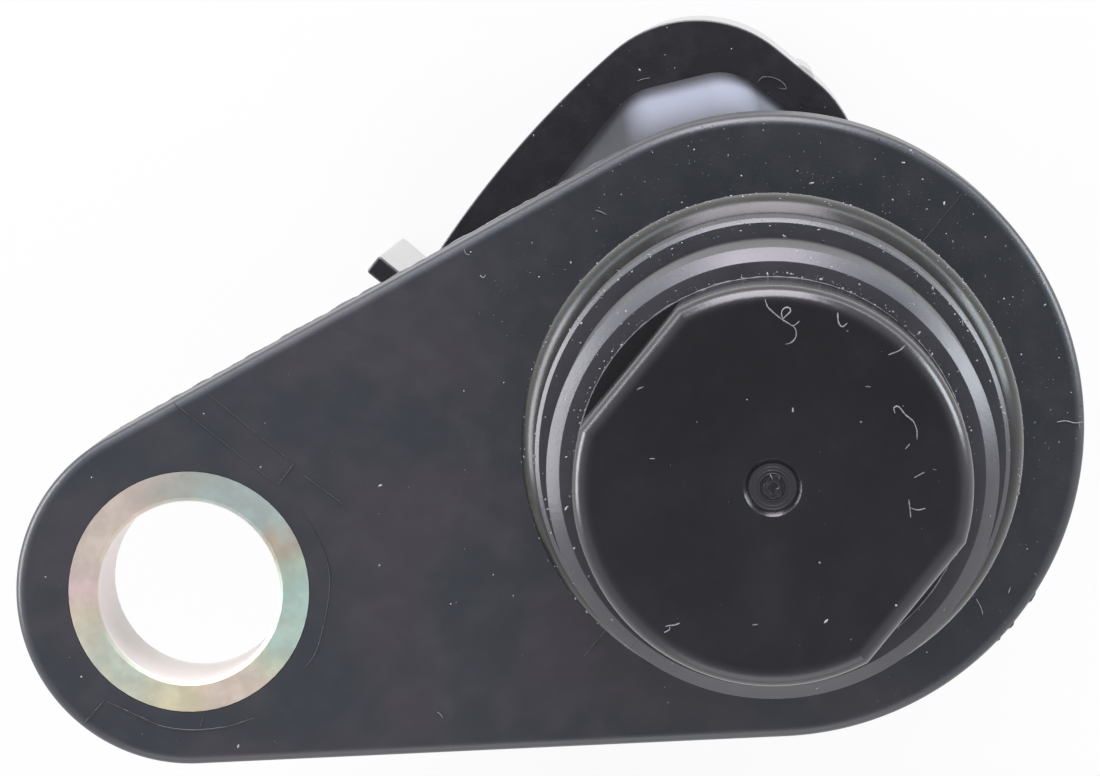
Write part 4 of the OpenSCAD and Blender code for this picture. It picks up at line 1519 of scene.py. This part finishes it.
@dataclass
class MouldLines:
    """Raised lines that the mould left on the housing: insert edges, split line and flash; the foot line and
    the flash are paler as a painted highlight.
    """

    growth: Growth
    camera: PhotoCamera
    housing: Housing
    insert_radius: float = 0.03
    split_radius: float = 0.022
    flash_radius: float = 0.035
    trim_radius: float = 0.07
    step: float = 0.1
    seed: int = 3
    trims: Sequence[tuple[Point, Point]] = (
        ((1035, 591), (1030.5, 604)), ((1014, 621), (1009, 630)), ((1001, 637), (997.5, 642)))
    inserts: Sequence[Sequence[Point]] = (
        ((173.3, 402.7), (225, 443.8), (276.7, 485)),
        ((206.7, 393.3), (250, 428.3), (293.3, 463.3)),
        ((303, 475), (325, 491), (346.7, 506.7)),
        ((278.3, 485), (286, 474.5), (294, 464)),
        ((300, 508.3), (323.3, 550), (330, 586.7), (318.3, 646.7), (303.3, 670)),
        ((106.7, 701.7), (143.3, 718.3), (163.3, 726.7), (193.3, 730), (226.7, 726.7), (253.3, 718.3)),
        ((203.3, 718.3), (201.6, 723.3), (200, 728.3)),
        ((105, 700), (94, 712.5), (83.3, 725)),
    )

    def _insert_paths(self) -> list[list[Vector]]:
        """Lines on the flange's face, half sunk in it."""
        return [[self.camera.on_level(pixel, 0.0) for pixel in line] for line in self.inserts]

    def _split_paths(self) -> list[list[Vector]]:
        """Split line of the mould's halves on the flange and the barrel, on both sides of the probe.

        Returns:
            The points of each line.
        """
        home = self.housing
        ledge_z = home.land_top + home.land_bevel
        land = [(home.barrel_r, home.groove_high + 0.3), (home.barrel_r, home.land_top)]
        wall = [(home.barrel_front_r, ledge_z), (home.barrel_front_r, home.shoulder_z - home.lead_in_len)]
        bevel = [wall[1], (home.shoulder_r, home.shoulder_z)]
        ledge = [(home.barrel_r - home.land_bevel, ledge_z), (home.barrel_front_r, ledge_z)]
        face = [(home.barrel_r + 0.1, 0.0), (home.flange_r - home.flange_edge_r, 0.0)]
        return [[Vector((side*r, 0.0, z)) for r, z in line]
                for side in (-1, 1) for line in (face, land, ledge, wall, bevel)]

    def _foot_path(self) -> list[Vector]:
        """Edge of the housing round the nose's foot."""
        home = self.housing
        ring = arc((0, 0), home.capsule_hole_r + home.mould_gap, 0, 359, 120)
        return [Vector((x, y, home.shoulder_z)) for x, y in ring]

    def _trim_paths(self) -> list[list[Vector]]:
        """Low scars on the flange's edge where it was trimmed.

        Returns:
            The points of each scar.
        """
        made = []
        for ends in self.trims:
            first, last = [self.camera.on_level(pixel, -self.housing.flange_edge_r) for pixel in ends]
            spokes = [Vector((p.x, p.y, 0.0)).normalized() for p in (first, first + last, last)]
            low = Vector((0.0, 0.0, -self.housing.flange_edge_r))
            made.append([spoke*(self.housing.flange_r - 0.02) + low for spoke in spokes])
        return made

    def _flash_path(self) -> list[Vector]:
        """Rear edge of the flange's long side, where the mould's halves left a torn fin.

        Returns:
            The points along it.
        """
        home = self.housing
        lean = math.asin((home.flange_r - home.ear_r)/home.bolt_distance)
        turn = math.radians(home.bolt_angle)
        way = turn - math.pi/2 + lean
        out = Vector((math.cos(way), math.sin(way), 0.0))
        bolt = Vector((math.cos(turn), math.sin(turn), 0.0))*home.bolt_distance
        low = Vector((0.0, 0.0, home.flange_edge_r - home.flange_t))
        start = bolt + out*home.ear_r + low
        end = out*home.flange_r + low
        return [start.lerp(end, share/8) for share in range(9)]

    def build(self, finish: bpy.types.Material, thin: bpy.types.Material) -> list[bpy.types.Object]:
        """Make the lines as pieces of the housing's plastic.

        Args:
            finish: The housing's finish.
            thin: Finish of thin edges and fins, paler as a painted highlight.

        Returns:
            The new pieces.
        """
        # The foot line is a thin bead whose paler finish paints the highlight of the edge round the nose's
        # foot
        sets = (("insert_lines", self._insert_paths(), self.insert_radius, 0.3, 3000.0, finish),
                ("split_lines", self._split_paths(), self.split_radius, 0.4, 3000.0, finish),
                ("foot_line", [self._foot_path()], self.insert_radius, 0.5, 3000.0, thin),
                ("trim_scars", self._trim_paths(), self.trim_radius, 0.3, 3000.0, finish),
                ("side_flash", [self._flash_path()], self.flash_radius, 0.9, 1500.0, thin))
        made = []
        for name, paths, radius, uneven, knots, skin in sets:
            piece = self.growth.grow(name, path_mesh(name, paths), self.growth.thread, {
                "Radius": radius*MM, "Uneven": uneven, "Knots": knots, "Step": self.step*MM,
                "Seed": self.seed, "Finish": skin})
            ride_as(piece, "housing_plastic")
            made.append(piece)
        return made


@dataclass
class GateScar:
    """Ridged floor and torn stub in the gate mark on the tip; millimetres."""

    floor_z: float = 27.65
    floor_r: float = 0.79
    ridges: int = 4
    ridge_h: float = 0.022
    stub_z: float = 27.74
    stub_r: float = 0.33
    stub_h: float = 0.055
    stub_gap: float = 0.04
    sunk: float = 0.05
    sharp: float = 50.0
    steps: int = 40

    def _torn(self, share: float, z: float, shift: float) -> Ring:
        """Uneven ring of the stub.

        Args:
            share: Part of the stub's radius.
            z: Height of the ring.
            shift: Angle that its waves are turned by.

        Returns:
            The points in order.
        """
        ring = []
        for i in range(self.steps):
            a = math.tau*i/self.steps
            wave = 1.0 + 0.16*math.sin(2*a + shift) + 0.12*math.sin(3*a + 1.7*shift)
            wave += 0.07*math.sin(7*a + 0.6)
            ring.append(Vector((share*self.stub_r*wave*math.cos(a), share*self.stub_r*wave*math.sin(a),
                                z + 0.015*math.sin(4*a + shift))))
        return ring

    def _ridged(self) -> list[Ring]:
        """Rings of the mark's floor, from its outer edge to the stub.

        Returns:
            The rings in order.
        """
        inner = self.stub_r + self.stub_gap
        count = self.ridges*8
        spots = [(self.floor_r, -self.sunk)]
        for i in range(count + 1):
            rise = 0.01 + self.ridge_h*(0.5 - 0.5*math.cos(math.tau*self.ridges*i/count))
            spots.append((self.floor_r + (inner - self.floor_r)*i/count, rise))
        spots.append((inner, -self.sunk))
        return [lifted(arc((0, 0), r, 0, 360, 64), self.floor_z + rise) for r, rise in spots]

    def build(self, nose: bpy.types.Material, worn: bpy.types.Material) -> list[bpy.types.Object]:
        """Make the stub in the nose's finish and the floor in a worn one.

        Args:
            nose: The nose's finish.
            worn: Finish of the floor.

        Returns:
            The new pieces.
        """
        top = self.stub_z + self.stub_h
        rings = [self._torn(1.0, self.stub_z - self.sunk, 0.4), self._torn(1.0, self.stub_z + 0.02, 0.4),
                 self._torn(0.85, top - 0.01, 0.7), self._torn(0.6, top - 0.02, 1.2),
                 self._torn(0.42, self.stub_z + 0.005, 1.5)]
        made = [(loft("gate_stub", rings), nose), (loft("gate_floor", self._ridged()), worn)]
        for piece, finish in made:
            piece.data.materials.append(finish)
            smooth(piece, self.sharp)
            ride_as(piece, "capsule_plastic")
        return [piece for piece, _ in made]


class Finishes:
    """All the sensor's finishes."""

    def __init__(self) -> None:
        """Build each finish once."""
        effects = Effects()
        dust = (0.40, 0.41, 0.45, 1)
        # The far colour is a painted shade on the flange's face; the neck's pale colour is a painted sheen
        self.housing = HousingPlastic(
            "housing_plastic_finish",
            deep=((0.003, 0.004, 0.006, 1), (0.006, 0.006, 0.008, 1)),
            barrel=((0.034, 0.037, 0.042, 1), (0.042, 0.042, 0.047, 1)),
            face=((0.030, 0.037, 0.043, 1), (0.043, 0.041, 0.047, 1)),
            far=(0.017, 0.023, 0.027, 1), painted_sheen=(0.255, 0.279, 0.325, 1), dust=dust).material(effects)
        # The nose darkens towards the image's top: a painted shade
        self.nose = MouldedPlastic(
            "capsule_plastic_finish", dark=(0.006, 0.006, 0.009, 1), pale=(0.013, 0.013, 0.016, 1),
            smooth=0.20, rough=0.27, dust=dust, grain_depth=0.000008, dust_cover=0.5, dust_share=0.01,
            specular=1.0, painted_shade=(0.001, 0.001, 0.002, 1)).material(effects)
        self.rubber = SealRubber(
            "seal_rubber_finish", (0.008, 0.009, 0.006, 1), (0.013, 0.014, 0.010, 1)).material(effects)
        self.zinc = RainbowZinc("zinc_steel_finish", (-0.0181033, 0.0126759, 0.0), math.radians(-129.1), (
            (0.0, (0.60, 0.88, 0.74, 1)), (0.055, (0.64, 0.78, 0.60, 1)), (0.085, (0.66, 0.58, 0.42, 1)),
            (0.12, (0.58, 0.72, 0.64, 1)), (0.20, (0.54, 0.66, 0.58, 1)), (0.27, (0.58, 0.60, 0.50, 1)),
            (0.34, (0.80, 0.70, 0.58, 1)), (0.42, (0.90, 0.80, 0.64, 1)), (0.50, (0.93, 0.74, 0.68, 1)),
            (0.57, (0.94, 0.86, 0.62, 1)), (0.64, (0.76, 0.86, 0.68, 1)), (0.70, (0.95, 0.92, 0.60, 1)),
            (0.76, (0.98, 0.90, 0.58, 1)), (0.81, (0.96, 0.82, 0.66, 1)), (0.87, (0.82, 0.92, 0.66, 1)),
            (0.94, (0.66, 0.86, 0.70, 1)), (1.0, (0.60, 0.88, 0.74, 1)))).material(effects)
        self.carrier = MouldedPlastic(
            "carrier_plastic_finish", dark=(0.10, 0.09, 0.08, 1), pale=(0.13, 0.12, 0.10, 1),
            smooth=0.45, rough=0.55, grain_depth=0.00002).material(effects)
        self.resin = MouldedPlastic(
            "chip_resin_finish", dark=(0.012, 0.012, 0.012, 1), pale=(0.02, 0.02, 0.02, 1),
            smooth=0.5, rough=0.6, dust=(0.3, 0.3, 0.3, 1), grain_depth=0.00002).material(effects)
        self.ceramic = MouldedPlastic(
            "capacitor_ceramic_finish", dark=(0.30, 0.20, 0.11, 1), pale=(0.36, 0.25, 0.15, 1),
            smooth=0.4, rough=0.5, dust=(0.5, 0.45, 0.4, 1)).material(effects)
        # Pale finish of fins and thin edges: a painted highlight
        self.fin = MouldedPlastic(
            "flash_painted_highlight_finish", dark=(0.13, 0.13, 0.14, 1), pale=(0.24, 0.24, 0.25, 1),
            smooth=0.4, rough=0.5).material(effects)
        self.worn = MouldedPlastic(
            "gate_finish", dark=(0.028, 0.028, 0.031, 1), pale=(0.040, 0.040, 0.043, 1),
            smooth=0.3, rough=0.4).material(effects)
        self.nickel = BrightMetal(
            "magnet_finish", (0.60, 0.59, 0.56, 1), (0.45, 0.44, 0.42, 1), 0.22, 0.34).material(effects)
        self.tin = BrightMetal(
            "tinned_lead_finish", (0.66, 0.66, 0.67, 1), (0.5, 0.5, 0.5, 1), 0.28, 0.4).material(effects)
        self.brass = BrightMetal(
            "terminal_brass_finish", (0.66, 0.56, 0.33, 1), (0.42, 0.33, 0.17, 1),
            0.22, 0.36).material(effects)
        self.lint = Lint("lint_finish", (0.18, 0.18, 0.20, 1), (0.42, 0.42, 0.44, 1)).material()
        # Darker lint: faint fine dust, and on the socket's back wall a painted shade
        self.faint = Lint("faint_lint_and_shade_finish", (0.06, 0.06, 0.065, 1), (0.20, 0.20, 0.21, 1)).material()
        self.dust = Lint("dust_finish", (0.12, 0.12, 0.13, 1), (0.60, 0.60, 0.62, 1)).material()


@dataclass(frozen=True)
class PackedSolids:
    """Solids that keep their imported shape: nose, seal, bush and all that lies inside."""

    circuits: Sequence[str] = ("supply", "ground", "signal")
    filtered: Sequence[str] = ("supply", "signal")

    def dress(self, finishes: Finishes) -> None:
        """Give each solid its finish by its material slots.

        Args:
            finishes: The sensor's finishes.
        """
        skins = {"capsule": finishes.nose, "o_ring": finishes.rubber, "mounting_bush": finishes.zinc,
                 "chip_carrier": finishes.carrier, "hall_chip": finishes.resin,
                 "bias_magnet": finishes.nickel}
        skins |= {f"{circuit}_lead": finishes.tin for circuit in self.circuits}
        skins |= {f"{circuit}_terminal": finishes.brass for circuit in self.circuits}
        skins |= {f"{circuit}_capacitor": finishes.ceramic for circuit in self.filtered}
        for name, skin in skins.items():
            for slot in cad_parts[name].material_slots:
                slot.material = skin
            LOG.info("%s dressed", name)


def clear_scene() -> None:
    """Remove what a new Blender file starts with."""
    for name in ("Cube", "Light", "Camera"):
        found = bpy.data.objects.get(name)
        if found is not None:
            bpy.data.objects.remove(found)


def main() -> None:
    """Build the studio and the dressed sensor, and report each piece."""
    logging.basicConfig(level=logging.INFO, format="%(name)s: %(message)s")
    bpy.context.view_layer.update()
    clear_scene()
    camera = PhotoCamera()
    camera.build()
    Studio().build(camera)
    LOG.info("camera and studio")
    finishes = Finishes()
    housing = Housing()
    shell = housing.build()
    housing.dress(shell, finishes.housing)
    PackedSolids().dress(finishes)
    growth = Growth()
    pieces = [shell]
    pieces += MouldLines(growth, camera, housing).build(finishes.housing, finishes.fin)
    pieces += GateScar().build(finishes.nose, finishes.worn)
    pieces += Fibres(growth, camera).build(finishes.lint, finishes.faint)
    pieces += Dust(growth).build(shell.data, finishes.dust, finishes.faint)
    for piece in pieces:
        LOG.info("%s: %d faces", piece.name, len(piece.data.polygons))


if __name__ == "__main__":
    main()
